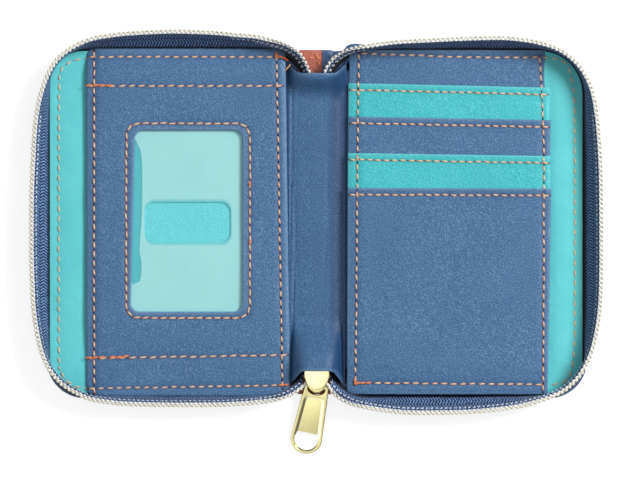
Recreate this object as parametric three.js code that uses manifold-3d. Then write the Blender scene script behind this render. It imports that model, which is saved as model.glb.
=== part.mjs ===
// Zip-around bifold wallet, lying open with its inside facing up.
// Millimetres. +X runs to the right cover, +Y to the top edge, +Z up.
// The origin is the middle of the spine's underside.

import * as THREE from 'three';
import { mergeVertices } from 'three/addons/utils/BufferGeometryUtils.js';
import Module from 'manifold-3d';

const wasm = await Module();
wasm.setup();

// Covers and spine
const spineWidth = 18;
const coverReach = 79.5;
const coverHeight = 115.4;
const coverCorner = 12.5;
const foldGap = 0.2;
const skin = 0.9;
const board = 0.8;
const lining = 0.4;
const edgeTurn = 1;
const clearance = 0.3;

// Spine strip ends: the turned hem and the contrast band under it
const spineEndInset = 1.7;
const hem = 0.4;
const bandLength = 9;
const bandWidth = 11;
const bandOffset = -0.8;

// Zip: the tape is sewn in flat and then stands up to the toothed edge.
// The toothed edge bulges past the covers, with square-shouldered corners and long necks.
const tape = 0.8;
const tapeSeam = 3.5;
const tapeSteps = 78;
const zipOverhang = 4;
const zipBulge = 3;
const zipRise = 9;
const cornerReach = 43;
const neckClose = 2;
const neckTuck = 3.8;
const neckPower = 3.4;
const neckShare = 0.25;
// Each half's lean along Y and the powers of its two corners
const leftZip = { sway: 1.1, top: 3.8, bottom: 4.1 };
const rightZip = { sway: -1.1, top: 4.3, bottom: 3.4 };
const pitch = 1.52;
const toothWide = 2.3;
const toothTall = 3.2;
const gapWide = 1.2;
const gapTall = 2;
const lineSteps = 600;
const lengthSteps = 2000;

// Zip ends over the spine: at the bottom the teeth turn flat to enter the slider
const endStart = 12.2;
const coverZipStart = 12.5;
const endTuck = 2;
const endSteps = 8;
const endTapeSteps = 14;
const topEndHalfGap = 2.8;
const topEndRise = 5.2;
const slotHalfGap = 2.2;
const slotFlare = 0.3;
const slotEase = 0.4;
const flatWide = 2.3;
const flatTall = 1.3;
const flatGapWide = 1.4;
const flatGapTall = 0.8;
const turnStart = 0.1;
const turnEnd = 0.4;
const footTurn = 1.6;
const footInset = 1.3;
const footTuck = 1.8;

// Spine lining: a leather strip that arches over the zip ends
const strip = 0.6;
const stripFoot = 1.6;
const stripHalfWidth = 8.7;
const stripEndInset = 9;
const stripSteps = 26;
const archHalfWidth = 5.2;
const archShoulder = 2.7;
const archMiddle = 3.8;
const archTop = 7.9;
const archFade = 9;
const archRound = 1;
const archLean = 0.25;
const crestInset = 1.2;
const crestDrop = 0.15;

// Card holder of the left cover
const panelLift = 3.5;
const panel = 1.2;
const panelInset = 1.6;
const panelWidth = 64.6;
const panelEndInset = 2.2;
const panelCorner = 3;
const panelHem = 3.2;
const windowInset = 13.9;
const windowWidth = 35.5;
const windowTop = 30.1;
const windowBottom = 29.3;
const windowCorner = 2.4;
const pocketReach = 12;
const film = 0.3;
const filmRim = 4.2;
const slotLength = 28;
const slotWidth = 13.2;
const slotInset = 3.7;
const slotTop = 6.5;
const slotCorner = 3.4;
const backSheet = 0.3;

// Card slots of the right cover
const leaf = 0.5;
const leafGap = 0.1;
const slotsInset = 1.2;
const slotsWidth = 66.2;
const slotsEndInset = 1.8;
const baseInset = 0.4;
const firstLipDrop = 10.9;
const lipPitch = 11.3;
const lipHem = 3.4;
const lipFold = 0.2;
const slotCount = 4;

// Slider: two plates joined by a wedge, with a crown that holds the pull
const plate = 1;
const plateCorner = 1;
const channel = 1.8;
const sliderHalfWidth = 4.15;
const sliderShow = 0.4;
const sliderTailLength = 3.1;
const turnReach = 3.3;
const noseLength = 5.7;
const crownLip = 0.95;
const crownClear = 1.6;
const crownBar = 0.8;
const crownWidth = 2.2;
const crownLeg = 0.8;
const crownSetback = 0.8;
const crownSweep = 2.2;
const crownCorner = 1.2;
const crownFillet = 0.6;
const flange = 0.4;
const flangeDrop = 0.5;
const flangeReach = 1.8;
const wedgeHalfWidth = 0.7;
const wedgeSetback = 0.6;
const wedgeShoulder = 2;
const wedgeLength = 3.6;

// Pull: it hinges on the crown and lies back on the ground, skewed to the left
const pullThick = 1.5;
const pullNeck = 7.8;
const pullWide = 10.2;
const pullLength = 23.2;
const pullRound = 4.6;
const pullShoulder = 0.8;
const pullBar = 0.65;
const pullSetback = 1.1;
const pullSkew = 11;
const pullRim = 1.1;
const pullRecess = 0.35;
const fieldSide = 1;
const eyeHalfWidth = 2.9;
const eyeLength = 2.2;
const eyeDepth = 2.09;
const gripHole = 7.4;
const gripHoleLength = 6;
const gripHoleDepth = 2.79;
const curveSteps = 10;

// Sizes worked out from the ones above
const hinge = spineWidth / 2;
const coverStart = hinge + foldGap;
const spineHalf = hinge - foldGap;
const coverEdge = hinge + coverReach;
const coverHalf = coverHeight / 2;
const boardTop = skin + board;
const liningTop = boardTop + lining;
const tapeEdge = coverEdge - edgeTurn;
const tapeHalfHeight = coverHalf - edgeTurn;
const zipEdge = coverEdge + zipOverhang;
const zipHalfHeight = coverHalf + zipBulge;
const spineEnd = coverHalf - spineEndInset;
const stripHalfLength = coverHalf - stripEndInset;
const neckEnd = stripHalfLength - neckTuck;
const neckReach = zipEdge - cornerReach - neckClose;
const panelInner = hinge + panelInset;
const panelOuter = panelInner + panelWidth;
const panelHalf = coverHalf - panelEndInset;
const windowInner = panelInner + windowInset;
const windowOuter = windowInner + windowWidth;
const slotInner = windowInner + slotInset;
const slotsInner = hinge + slotsInset;
const slotsHalf = coverHalf - slotsEndInset;
const crownTop = crownClear + crownBar;
const pullAxisHeight = crownTop + clearance + pullThick / 2;
const lowerPlate = pullAxisHeight + pullThick / 2 + clearance;
const channelFloor = lowerPlate + plate;
const upperPlate = channelFloor + channel;
const plateTop = upperPlate + plate;
const chainInSlider = channelFloor + channel / 2;
const archBottom = plateTop + 2 * strip + clearance;
const sliderWaist = -stripHalfLength - sliderShow;
const sliderTail = sliderWaist + sliderTailLength;
const sliderTurn = sliderWaist - turnReach;
const sliderNose = sliderWaist - noseLength;
const pullPivot = sliderNose + pullSetback;
const pullTilt = Math.atan((pullAxisHeight - pullThick / 2) / pullLength);

const colours = {
  leather: [0x466c9b, 0.62, 0],
  teal: [0x46cdd2, 0.6, 0],
  tealCloth: [0x5fc8cd, 0.85, 0],
  backing: [0x30507a, 0.9, 0],
  tape: [0x2d4673, 0.9, 0],
  teeth: [0xe6e2d2, 0.4, 0],
  brown: [0x96504b, 0.65, 0],
  film: [0xa3e4e4, 0.15, 0],
  brass: [0xe1d996, 0.3, 0.9],
};

// Every piece is one closed body with its faces pointing out
function piece(name, colour, geometry) {
  const [color, roughness, metalness] = colours[colour];
  const material = new THREE.MeshStandardMaterial({ color, roughness, metalness });
  const mesh = new THREE.Mesh(facingOut(geometry), material);
  mesh.name = name;
  return mesh;
}

function facingOut(source) {
  const bare = source.clone();
  bare.deleteAttribute('normal');
  bare.deleteAttribute('uv');
  const geometry = mergeVertices(bare, 1e-4);
  const at = geometry.attributes.position;
  const index = geometry.index.array;
  const [a, b, c] = [new THREE.Vector3(), new THREE.Vector3(), new THREE.Vector3()];
  let volume = 0;
  for (let i = 0; i < index.length; i += 3) {
    a.fromBufferAttribute(at, index[i]);
    b.fromBufferAttribute(at, index[i + 1]);
    c.fromBufferAttribute(at, index[i + 2]);
    volume += a.dot(b.cross(c));
  }
  if (volume < 0) {
    for (let i = 0; i < index.length; i += 3) {
      const second = index[i + 1];
      index[i + 1] = index[i + 2];
      index[i + 2] = second;
    }
  }
  geometry.computeVertexNormals();
  return geometry;
}

function mirrored(geometry, side) {
  return geometry.clone().scale(side, 1, 1);
}

function sheet(shape, bottom, thickness) {
  const options = { depth: thickness, bevelEnabled: false, curveSegments: curveSteps };
  return new THREE.ExtrudeGeometry(shape, options).translate(0, 0, bottom);
}

// A profile drawn in Y and Z, carried from one X to another
function carriedAlongX(shape, from, to) {
  const options = { depth: to - from, bevelEnabled: false, curveSegments: curveSteps };
  const turned = new THREE.Matrix4().makeBasis(
    new THREE.Vector3(0, 1, 0),
    new THREE.Vector3(0, 0, 1),
    new THREE.Vector3(1, 0, 0),
  );
  return new THREE.ExtrudeGeometry(shape, options).applyMatrix4(turned).translate(from, 0, 0);
}

// Rings of points joined into a closed body. Its two ends are filled from the flat section,
// and each end face runs against the order of the ring's points, as the walls beside it need.
function loft(rings, section) {
  const count = section.length;
  const last = (rings.length - 1) * count;
  const index = [];
  for (let r = 0; r + 1 < rings.length; r += 1) {
    for (let k = 0; k < count; k += 1) {
      const a = r * count + k;
      const b = r * count + (k + 1) % count;
      index.push(a, b, b + count);
      index.push(a, b + count, a + count);
    }
  }
  const around = THREE.ShapeUtils.area(section);
  for (const [a, b, c] of THREE.ShapeUtils.triangulateShape(section, [])) {
    const face = THREE.ShapeUtils.area([section[a], section[b], section[c]]);
    const [second, third] = face * around > 0 ? [c, b] : [b, c];
    index.push(a, second, third);
    index.push(last + a, last + third, last + second);
  }
  const geometry = new THREE.BufferGeometry();
  const positions = rings.flat().flatMap((point) => [point.x, point.y, point.z]);
  geometry.setAttribute('position', new THREE.Float32BufferAttribute(positions, 3));
  geometry.setIndex(index);
  return geometry;
}

function solid(geometry) {
  const closed = facingOut(geometry);
  const mesh = new wasm.Mesh({
    numProp: 3,
    vertProperties: new Float32Array(closed.attributes.position.array),
    triVerts: new Uint32Array(closed.index.array),
  });
  return new wasm.Manifold(mesh);
}

function fromSolid(manifold) {
  const mesh = manifold.getMesh();
  const geometry = new THREE.BufferGeometry();
  geometry.setAttribute('position', new THREE.BufferAttribute(mesh.vertProperties, 3));
  geometry.setIndex(new THREE.BufferAttribute(mesh.triVerts, 1));
  return geometry;
}

// A rectangle with a corner radius of its own at each side, inner edge first
function roundedBox(inner, outer, bottom, top, innerRadius, outerRadius) {
  const shape = new THREE.Shape();
  shape.moveTo(inner + innerRadius, bottom);
  shape.lineTo(outer - outerRadius, bottom);
  if (outerRadius > 0) {
    shape.absarc(outer - outerRadius, bottom + outerRadius, outerRadius, -Math.PI / 2, 0);
    shape.lineTo(outer, top - outerRadius);
    shape.absarc(outer - outerRadius, top - outerRadius, outerRadius, 0, Math.PI / 2);
  } else {
    shape.lineTo(outer, top);
  }
  shape.lineTo(inner + innerRadius, top);
  if (innerRadius > 0) {
    shape.absarc(inner + innerRadius, top - innerRadius, innerRadius, Math.PI / 2, Math.PI);
    shape.lineTo(inner, bottom + innerRadius);
    shape.absarc(inner + innerRadius, bottom + innerRadius, innerRadius, Math.PI, 1.5 * Math.PI);
  } else {
    shape.lineTo(inner, bottom);
  }
  return shape;
}

function coverOutline(inset) {
  const half = coverHalf - inset;
  const outer = coverEdge - inset;
  return roundedBox(coverStart, outer, -half, half, 0, coverCorner - inset);
}

// The line where the tape turns up, round the three free sides of a cover
function tapeLine() {
  const radius = coverCorner - edgeTurn;
  const path = new THREE.Path();
  path.moveTo(coverZipStart, tapeHalfHeight);
  path.lineTo(tapeEdge - radius, tapeHalfHeight);
  path.absarc(tapeEdge - radius, tapeHalfHeight - radius, radius, Math.PI / 2, 0, true);
  path.lineTo(tapeEdge, radius - tapeHalfHeight);
  path.absarc(tapeEdge - radius, radius - tapeHalfHeight, radius, 0, -Math.PI / 2, true);
  path.lineTo(coverZipStart, -tapeHalfHeight);
  return path;
}

// The toothed edge seen from above, for one half's lean and corner powers.
// Outer corners and necks are quarter superellipses that meet at one X.
class ZipLine extends THREE.Curve {
  constructor(half) {
    super();
    this.half = half;
    this.middle = zipEdge - cornerReach;
  }

  getPoint(t, target = new THREE.Vector3()) {
    if (t < neckShare) {
      return this.neck(t / neckShare, 1, target);
    }
    if (t > 1 - neckShare) {
      return this.neck((1 - t) / neckShare, -1, target);
    }
    const angle = Math.PI * (t - neckShare) / (1 - 2 * neckShare);
    const power = Math.cos(angle) > 0 ? this.half.top : this.half.bottom;
    const across = Math.sin(angle) ** (2 / power);
    const along = Math.abs(Math.cos(angle)) ** (2 / power);
    const x = this.middle + cornerReach * across;
    const y = zipHalfHeight * Math.sign(Math.cos(angle)) * along + this.half.sway;
    return target.set(x, y, zipRise);
  }

  neck(share, end, target) {
    const angle = share * Math.PI / 2;
    const across = Math.cos(angle) ** (2 / neckPower);
    const along = Math.sin(angle) ** (2 / neckPower);
    const x = this.middle - neckReach * across;
    const y = end * THREE.MathUtils.lerp(neckEnd, zipHalfHeight, along);
    return target.set(x, y + this.half.sway * along ** 2, zipRise);
  }
}

function zipPoints(half, from, to) {
  const dense = new ZipLine(half).getPoints(lineSteps);
  return dense.filter((point) => point.x >= from && point.x <= to);
}

// The stretch of the toothed edge that rides on a cover
function coverEdgeLine(half) {
  const line = new THREE.CatmullRomCurve3(zipPoints(half, coverZipStart, Infinity));
  line.arcLengthDivisions = lengthSteps;
  return line;
}

// Direction square to a line of points, in plan
function squareTo(points, i) {
  const before = points[Math.max(i - 1, 0)];
  const after = points[Math.min(i + 1, points.length - 1)];
  return new THREE.Vector3(before.y - after.y, after.x - before.x, 0).normalize();
}

// A toothed strip: two rings for each tooth, a full one and a slim one.
// roll turns the section from standing (0) to lying flat (1) along the strip.
function toothedStrip(line, roll) {
  const teeth = Math.round(line.getLength() / pitch);
  const points = line.getSpacedPoints(2 * teeth);
  const section = [[-0.5, -0.5], [0.5, -0.5], [0.5, 0.5], [-0.5, 0.5]];
  const up = new THREE.Vector3(0, 0, 1);
  const rings = points.map((point, i) => {
    const across = squareTo(points, i);
    const turned = roll(i / (points.length - 1));
    const full = i % 2 === 0;
    const standing = full ? [toothWide, toothTall] : [gapWide, gapTall];
    const lying = full ? [flatWide, flatTall] : [flatGapWide, flatGapTall];
    const wide = THREE.MathUtils.lerp(standing[0], lying[0], turned);
    const tall = THREE.MathUtils.lerp(standing[1], lying[1], turned);
    return section.map(([u, v]) => point.clone()
      .addScaledVector(across, u * wide)
      .addScaledVector(up, v * tall));
  });
  return loft(rings, section.map(([u, v]) => new THREE.Vector2(u, v)));
}

function coverChain(half) {
  return toothedStrip(coverEdgeLine(half), () => 0);
}

// The tape of a cover: a flat seam under the lining and a wall up to the teeth
function coverTape(half) {
  const foot = tapeLine().getSpacedPoints(tapeSteps);
  const top = coverEdgeLine(half).getSpacedPoints(tapeSteps);
  const wallTop = zipRise - toothTall / 2 - clearance;
  const at = (from, way, distance, z) => new THREE.Vector3(
    from.x + way.x * distance,
    from.y + way.y * distance,
    z,
  );
  const rings = foot.map((low, i) => {
    const out = squareTo(foot, i);
    const topOut = squareTo(top, i);
    return [
      at(low, out, -tapeSeam, skin),
      at(low, out, tape / 2, skin),
      at(top[i], topOut, tape / 2, wallTop),
      at(top[i], topOut, -tape / 2, wallTop),
      at(low, out, -tape / 2, boardTop),
      at(low, out, -tapeSeam, boardTop),
    ];
  });
  const section = [
    new THREE.Vector2(-tapeSeam, skin),
    new THREE.Vector2(tape / 2, skin),
    new THREE.Vector2(tape, wallTop),
    new THREE.Vector2(0, wallTop),
    new THREE.Vector2(-tape / 2, boardTop),
    new THREE.Vector2(-tapeSeam, boardTop),
  ];
  return loft(rings, section);
}

// Toothed end of one zip half, from its cover to under the spine lining.
// The top end dives under the strip, and the bottom end runs into the slider.
function endLine(half, end) {
  const stop = end > 0 ? topEndHalfGap : slotHalfGap + toothWide;
  const low = end > 0 ? topEndRise : chainInSlider;
  const neck = zipPoints(half, stop, endStart).filter((point) => point.y * end > 0);
  neck.sort((a, b) => b.x - a.x);
  for (const point of neck) {
    point.z = THREE.MathUtils.lerp(zipRise, low, fade(endStart, stop, point.x));
  }
  const line = new THREE.CatmullRomCurve3(neck).getSpacedPoints(endSteps);
  const at = (x, y) => line.push(new THREE.Vector3(x, y, low));
  if (end > 0) {
    const tucked = stripHalfLength - endTuck;
    at(stop, (line[endSteps].y + tucked) / 2);
    at(stop, tucked);
  } else {
    at(slotHalfGap + slotFlare, sliderTurn - slotEase);
    at(slotHalfGap, sliderTurn + 3 * slotEase);
    at(slotHalfGap, sliderWaist);
    at(slotHalfGap, sliderTail + slotEase);
  }
  return line;
}

// Smooth step from 0 at the first value to 1 at the second
function fade(from, to, value) {
  const share = THREE.MathUtils.clamp((value - from) / (to - from), 0, 1);
  return share * share * (3 - 2 * share);
}

function endTeeth(half, end) {
  const line = new THREE.CatmullRomCurve3(endLine(half, end));
  const standing = () => 0;
  const turning = (share) => fade(turnStart, turnEnd, share);
  return toothedStrip(line, end > 0 ? standing : turning);
}

// Tape of a zip end: it stands between the teeth and the spine strip
function endTape(half, end) {
  const stripStop = stripHalfLength + tape;
  const line = endLine(half, end).filter((point) => Math.abs(point.y) > stripStop);
  const top = new THREE.CatmullRomCurve3(line).getSpacedPoints(endTapeSteps);
  const foot = new THREE.CatmullRomCurve3([
    new THREE.Vector3(endStart, end * tapeHalfHeight, skin),
    new THREE.Vector3(hinge, end * tapeHalfHeight, skin),
    new THREE.Vector3(hinge - edgeTurn, end * (tapeHalfHeight - footTurn), skin),
    new THREE.Vector3(hinge - footInset, end * (tapeHalfHeight - tapeSeam - tape), skin),
    new THREE.Vector3(hinge - footTuck, end * stripStop, skin),
  ]).getSpacedPoints(endTapeSteps);
  const beside = flatWide / 2 + clearance + tape;
  const rings = foot.map((low, i) => {
    const lean = end < 0 ? fade(0, 0.5, i / endTapeSteps) * Math.PI / 2 : 0;
    const into = squareTo(foot, i).multiplyScalar(end);
    const rimInto = squareTo(top, i).multiplyScalar(end);
    const rim = top[i].clone().addScaledVector(rimInto, beside * Math.sin(lean));
    rim.z -= (toothTall / 2 + clearance) * Math.cos(lean);
    return [
      low.clone().addScaledVector(into, tape / 2),
      rim.clone().addScaledVector(rimInto, tape / 2),
      rim.clone().addScaledVector(rimInto, -tape / 2),
      low.clone().addScaledVector(into, -tape / 2),
    ];
  });
  const section = [[1, 0], [1, 1], [0, 1], [0, 0]].map(([u, v]) => new THREE.Vector2(u, v));
  return loft(rings, section);
}

// Half of the strip's outer line across the spine at one place, from its foot to its crest
function archLine(top) {
  const shoulder = Math.max(top - archRound, archShoulder + leafGap);
  return [
    [stripHalfWidth, stripFoot],
    [archHalfWidth, archShoulder],
    [archHalfWidth - archLean, shoulder],
    [archHalfWidth - crestInset, top - crestDrop],
  ];
}

// The same line on the strip's inner face
function archUnderside(top) {
  const [foot, base, shoulder, crest] = archLine(top);
  return [
    [crest[0] - archLean, crest[1] - strip],
    [shoulder[0] - 2 * archLean, shoulder[1] - strip],
    [base[0] - 2 * archLean, base[1] - strip - leafGap],
    [foot[0], foot[1] - strip],
  ];
}

// Spine lining: an arched strip, tall over the slider, low in the middle
function spineLining() {
  const rings = [];
  for (let i = 0; i <= stripSteps; i += 1) {
    const y = stripHalfLength * (2 * i / stripSteps - 1);
    const end = y < 0 ? archBottom : archTop;
    const rising = fade(stripHalfLength - archFade, stripHalfLength - archFade / 3, Math.abs(y));
    const top = THREE.MathUtils.lerp(archMiddle, end, rising);
    const outer = archLine(top);
    const inner = archUnderside(top);
    const flip = (points) => points.map(([x, z]) => [-x, z]).reverse();
    const ring = [...outer, [0, top], ...flip(outer), ...flip(inner), [0, top - strip], ...inner];
    rings.push(ring.map(([x, z]) => new THREE.Vector3(x, y, z)));
  }
  const section = rings[0].map((point) => new THREE.Vector2(point.x, point.z));
  return loft(rings, section);
}

// Contrast band: a strip under the spine that turns in over both of its ends
function spineBand() {
  const turned = skin + hem;
  const profile = new THREE.Shape();
  profile.moveTo(-spineEnd - hem, 0);
  profile.lineTo(spineEnd + hem, 0);
  profile.lineTo(spineEnd + hem, turned);
  profile.lineTo(spineEnd - bandLength, turned);
  profile.lineTo(spineEnd - bandLength, skin);
  profile.lineTo(spineEnd, skin);
  profile.lineTo(spineEnd, hem);
  profile.lineTo(-spineEnd, hem);
  profile.lineTo(-spineEnd, skin);
  profile.lineTo(bandLength - spineEnd, skin);
  profile.lineTo(bandLength - spineEnd, turned);
  profile.lineTo(-spineEnd - hem, turned);
  return carriedAlongX(profile, bandOffset - bandWidth / 2, bandOffset + bandWidth / 2);
}

// Card window panel: a leather sheet on two sewn hems, so a long pocket stays open behind it
function idPanel() {
  const outline = roundedBox(panelInner, panelOuter, -panelHalf, panelHalf, panelCorner, 0);
  outline.holes.push(roundedBox(windowInner, windowOuter, -windowBottom, windowTop,
    windowCorner, windowCorner));
  const hemFoot = liningTop + clearance;
  let body = solid(sheet(outline, panelLift, panel));
  for (const end of [-1, 1]) {
    const low = end > 0 ? panelHalf - panelHem : -panelHalf;
    const strap = roundedBox(panelInner + panelCorner, panelOuter, low, low + panelHem, 0, 0);
    body = body.add(solid(sheet(strap, hemFoot, panelLift - hemFoot + panel / 2)));
  }
  return fromSolid(body);
}

function windowFilm() {
  const outline = roundedBox(windowInner - filmRim, windowOuter + filmRim,
    -windowBottom - filmRim, windowTop + filmRim, windowCorner, windowCorner);
  outline.holes.push(roundedBox(slotInner, slotInner + slotLength, slotTop - slotWidth, slotTop,
    slotCorner, slotCorner));
  return sheet(outline, panelLift - film, film);
}

function pocketBack() {
  const outline = roundedBox(windowInner - pocketReach, windowOuter + pocketReach,
    -windowBottom - pocketReach, windowTop + pocketReach, 0, 0);
  return sheet(outline, panelLift - film - clearance - backSheet, backSheet);
}

// One leaf of the card slots: a sheet whose top edge is folded over
function slotLeaf(level, top, folded) {
  const bottom = liningTop + leafGap + level * (leaf + leafGap);
  const profile = new THREE.Shape();
  profile.moveTo(-slotsHalf, bottom);
  profile.lineTo(top, bottom);
  profile.lineTo(top, bottom + leaf + folded);
  profile.lineTo(top - lipHem, bottom + leaf + folded);
  profile.lineTo(top - lipHem - folded, bottom + leaf);
  profile.lineTo(-slotsHalf, bottom + leaf);
  const width = slotsWidth - (level === 0 ? 2 * baseInset : 0);
  const inner = slotsInner + (level === 0 ? baseInset : 0);
  return carriedAlongX(profile, inner, inner + width);
}

// Slider plate: square at the tail, half an ellipse at the nose
function plateOutline(nose) {
  const corner = sliderHalfWidth - plateCorner;
  const shape = new THREE.Shape();
  shape.moveTo(sliderHalfWidth, sliderWaist);
  shape.lineTo(sliderHalfWidth, sliderTail - plateCorner);
  shape.quadraticCurveTo(sliderHalfWidth, sliderTail, corner, sliderTail);
  shape.lineTo(-corner, sliderTail);
  shape.quadraticCurveTo(-sliderHalfWidth, sliderTail, -sliderHalfWidth, sliderTail - plateCorner);
  shape.lineTo(-sliderHalfWidth, sliderWaist);
  shape.absellipse(0, sliderWaist, sliderHalfWidth, nose, Math.PI, 2 * Math.PI);
  return shape;
}

// Wedge between the plates, which parts the two toothed edges
function sliderWedge() {
  const front = sliderNose + wedgeSetback;
  const shape = new THREE.Shape();
  shape.moveTo(-wedgeHalfWidth, front);
  shape.lineTo(wedgeHalfWidth, front);
  shape.lineTo(wedgeHalfWidth, front + wedgeShoulder);
  shape.lineTo(0, front + wedgeLength);
  shape.lineTo(-wedgeHalfWidth, front + wedgeShoulder);
  return shape;
}

// Crown under the slider, drawn in Y and Z: a bar on two legs that the pull hangs on
function crownProfile() {
  const rear = sliderTail - crownSetback;
  const front = sliderNose - crownLip;
  const inside = front + crownLeg;
  const rise = lowerPlate + plate / 2;
  const shape = new THREE.Shape();
  shape.moveTo(rear, rise);
  shape.quadraticCurveTo(rear, crownClear, rear - crownSweep, crownClear);
  shape.lineTo(front + crownCorner, crownClear);
  shape.quadraticCurveTo(front, crownClear, front, crownClear + crownCorner);
  shape.lineTo(front, rise);
  shape.lineTo(inside, rise);
  shape.lineTo(inside, crownTop + crownFillet);
  shape.quadraticCurveTo(inside, crownTop, inside + crownFillet, crownTop);
  shape.lineTo(rear - crownLeg - crownSweep, crownTop);
  shape.quadraticCurveTo(rear - crownLeg, crownTop, rear - crownLeg, rise);
  return shape;
}

function sliderBody() {
  const railStart = sliderWaist - flangeReach;
  const railEnd = sliderTail - plateCorner;
  const outer = solid(sheet(plateOutline(noseLength + crownLip), lowerPlate, plate));
  const inner = solid(sheet(plateOutline(noseLength), upperPlate, plate));
  let body = outer.add(inner);
  body = body.add(solid(sheet(sliderWedge(), channelFloor - plate / 2, channel + plate)));
  for (const side of [-1, 1]) {
    const low = side > 0 ? sliderHalfWidth - flange : -sliderHalfWidth;
    const rail = roundedBox(low, low + flange, railStart, railEnd, 0, 0);
    body = body.add(solid(sheet(rail, channelFloor - plate / 2, plate / 2 + flangeDrop)));
    body = body.add(solid(sheet(rail, upperPlate - flangeDrop, plate / 2 + flangeDrop)));
  }
  const crown = carriedAlongX(crownProfile(), -crownWidth / 2, crownWidth / 2);
  return fromSolid(body.add(solid(crown)));
}

// Pull outline, hinge at the origin: it widens from the neck to a round foot
function pullOutline() {
  const neck = pullNeck / 2;
  const wide = pullWide / 2;
  const foot = pullRound - pullLength;
  const shape = new THREE.Shape();
  shape.moveTo(pullShoulder - neck, pullBar);
  shape.lineTo(neck - pullShoulder, pullBar);
  shape.quadraticCurveTo(neck, pullBar, neck, pullBar - pullShoulder);
  shape.lineTo(wide, foot);
  shape.absellipse(0, foot, wide, pullRound, 0, -Math.PI, true);
  shape.lineTo(-neck, pullBar - pullShoulder);
  shape.quadraticCurveTo(-neck, pullBar, pullShoulder - neck, pullBar);
  return shape;
}

// A hole that is straight across its top and round below
function roundFooted(halfWidth, top, length, depth) {
  const path = new THREE.Shape();
  path.moveTo(-halfWidth, top);
  path.lineTo(halfWidth, top);
  path.lineTo(halfWidth, top - length + depth);
  path.absellipse(0, top - length + depth, halfWidth, depth, 0, -Math.PI, true);
  path.lineTo(-halfWidth, top);
  return path;
}

// Pull tab: an eye for the crown and, on both faces, a sunk field that runs into the grip hole
function pullTab() {
  const eye = roundFooted(eyeHalfWidth, -pullBar, eyeLength, eyeDepth);
  const gripTop = pullBar - pullLength + gripHoleLength + pullRim;
  const grip = roundFooted(gripHole / 2, gripTop, gripHoleLength, gripHoleDepth);
  const fieldHalf = pullNeck / 2 - fieldSide;
  const fieldTop = -pullBar - eyeLength - pullRim;
  const fieldBottom = gripTop - 2 * pullRim;
  const field = roundedBox(-fieldHalf, fieldHalf, fieldBottom, fieldTop, pullRim, pullRim);
  let tab = solid(sheet(pullOutline(), -pullThick / 2, pullThick));
  for (const hole of [eye, grip]) {
    tab = tab.subtract(solid(sheet(hole, -pullThick, 2 * pullThick)));
  }
  for (const bottom of [pullThick / 2 - pullRecess, -pullThick]) {
    tab = tab.subtract(solid(sheet(field, bottom, pullThick / 2 + pullRecess)));
  }
  return fromSolid(tab);
}

// One cover: outer leather, stiffener, lining and its half of the zip
function cover(side, name) {
  const half = side < 0 ? leftZip : rightZip;
  const tapeBed = coverOutline(edgeTurn + tapeSeam + clearance);
  const lined = coverOutline(edgeTurn + tape / 2 + clearance);
  const group = new THREE.Group();
  const add = (label, colour, geometry) => {
    group.add(piece(`${name}_${label}`, colour, mirrored(geometry, side)));
  };
  add('cover_skin', 'leather', sheet(coverOutline(0), 0, skin));
  add('board', 'backing', sheet(tapeBed, skin, board));
  add('lining', 'tealCloth', sheet(lined, boardTop, lining));
  add('zip_tape', 'tape', coverTape(half));
  add('zip_teeth', 'teeth', coverChain(half));
  for (const [label, end] of [['top', 1], ['bottom', -1]]) {
    add(`${label}_end_teeth`, 'teeth', endTeeth(half, end));
    add(`${label}_end_tape`, 'tape', endTape(half, end));
  }
  return group;
}

function cardWindow() {
  const group = new THREE.Group();
  group.add(piece('id_pocket_back', 'teal', mirrored(pocketBack(), -1)));
  group.add(piece('id_window_film', 'film', mirrored(windowFilm(), -1)));
  group.add(piece('id_panel', 'leather', mirrored(idPanel(), -1)));
  return group;
}

function cardSlots() {
  const group = new THREE.Group();
  group.add(piece('slot_base', 'leather', slotLeaf(0, slotsHalf, 0)));
  for (let k = 1; k <= slotCount; k += 1) {
    const front = k === slotCount;
    const colour = k % 2 === 1 && !front ? 'teal' : 'leather';
    const name = front ? 'front_slot' : `card_slot_${k}`;
    const lip = slotsHalf - firstLipDrop - (k - 1) * lipPitch;
    group.add(piece(name, colour, slotLeaf(k, lip, lipFold)));
  }
  return group;
}

function spine() {
  const group = new THREE.Group();
  const outline = roundedBox(-spineHalf, spineHalf, -spineEnd, spineEnd, 0, 0);
  group.add(piece('spine_skin', 'leather', sheet(outline, hem, skin - hem)));
  group.add(piece('spine_band', 'brown', spineBand()));
  group.add(piece('spine_lining', 'leather', spineLining()));
  return group;
}

function slider() {
  const group = new THREE.Group();
  group.add(piece('slider', 'brass', sliderBody()));
  const pull = piece('pull', 'brass', pullTab());
  pull.rotation.set(pullTilt, 0, -THREE.MathUtils.degToRad(pullSkew), 'ZXY');
  pull.position.set(0, pullPivot, pullAxisHeight);
  group.add(pull);
  return group;
}

const wallet = new THREE.Group();
wallet.add(cover(-1, 'left'));
wallet.add(cover(1, 'right'));
wallet.add(cardWindow());
wallet.add(cardSlots());
wallet.add(spine());
wallet.add(slider());

export default wallet;
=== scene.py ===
"""Zip-around bifold wallet lying open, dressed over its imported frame.

Lengths are millimetres and become metres where a mesh is made. +X runs to the
right cover, +Y to the top edge and +Z up out of the open inside.
"""

import logging
import math
from dataclasses import dataclass, field
from enum import Enum
from typing import Callable

import bpy
import numpy as np
from mathutils import Matrix, Vector
from mathutils.geometry import delaunay_2d_cdt


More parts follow.
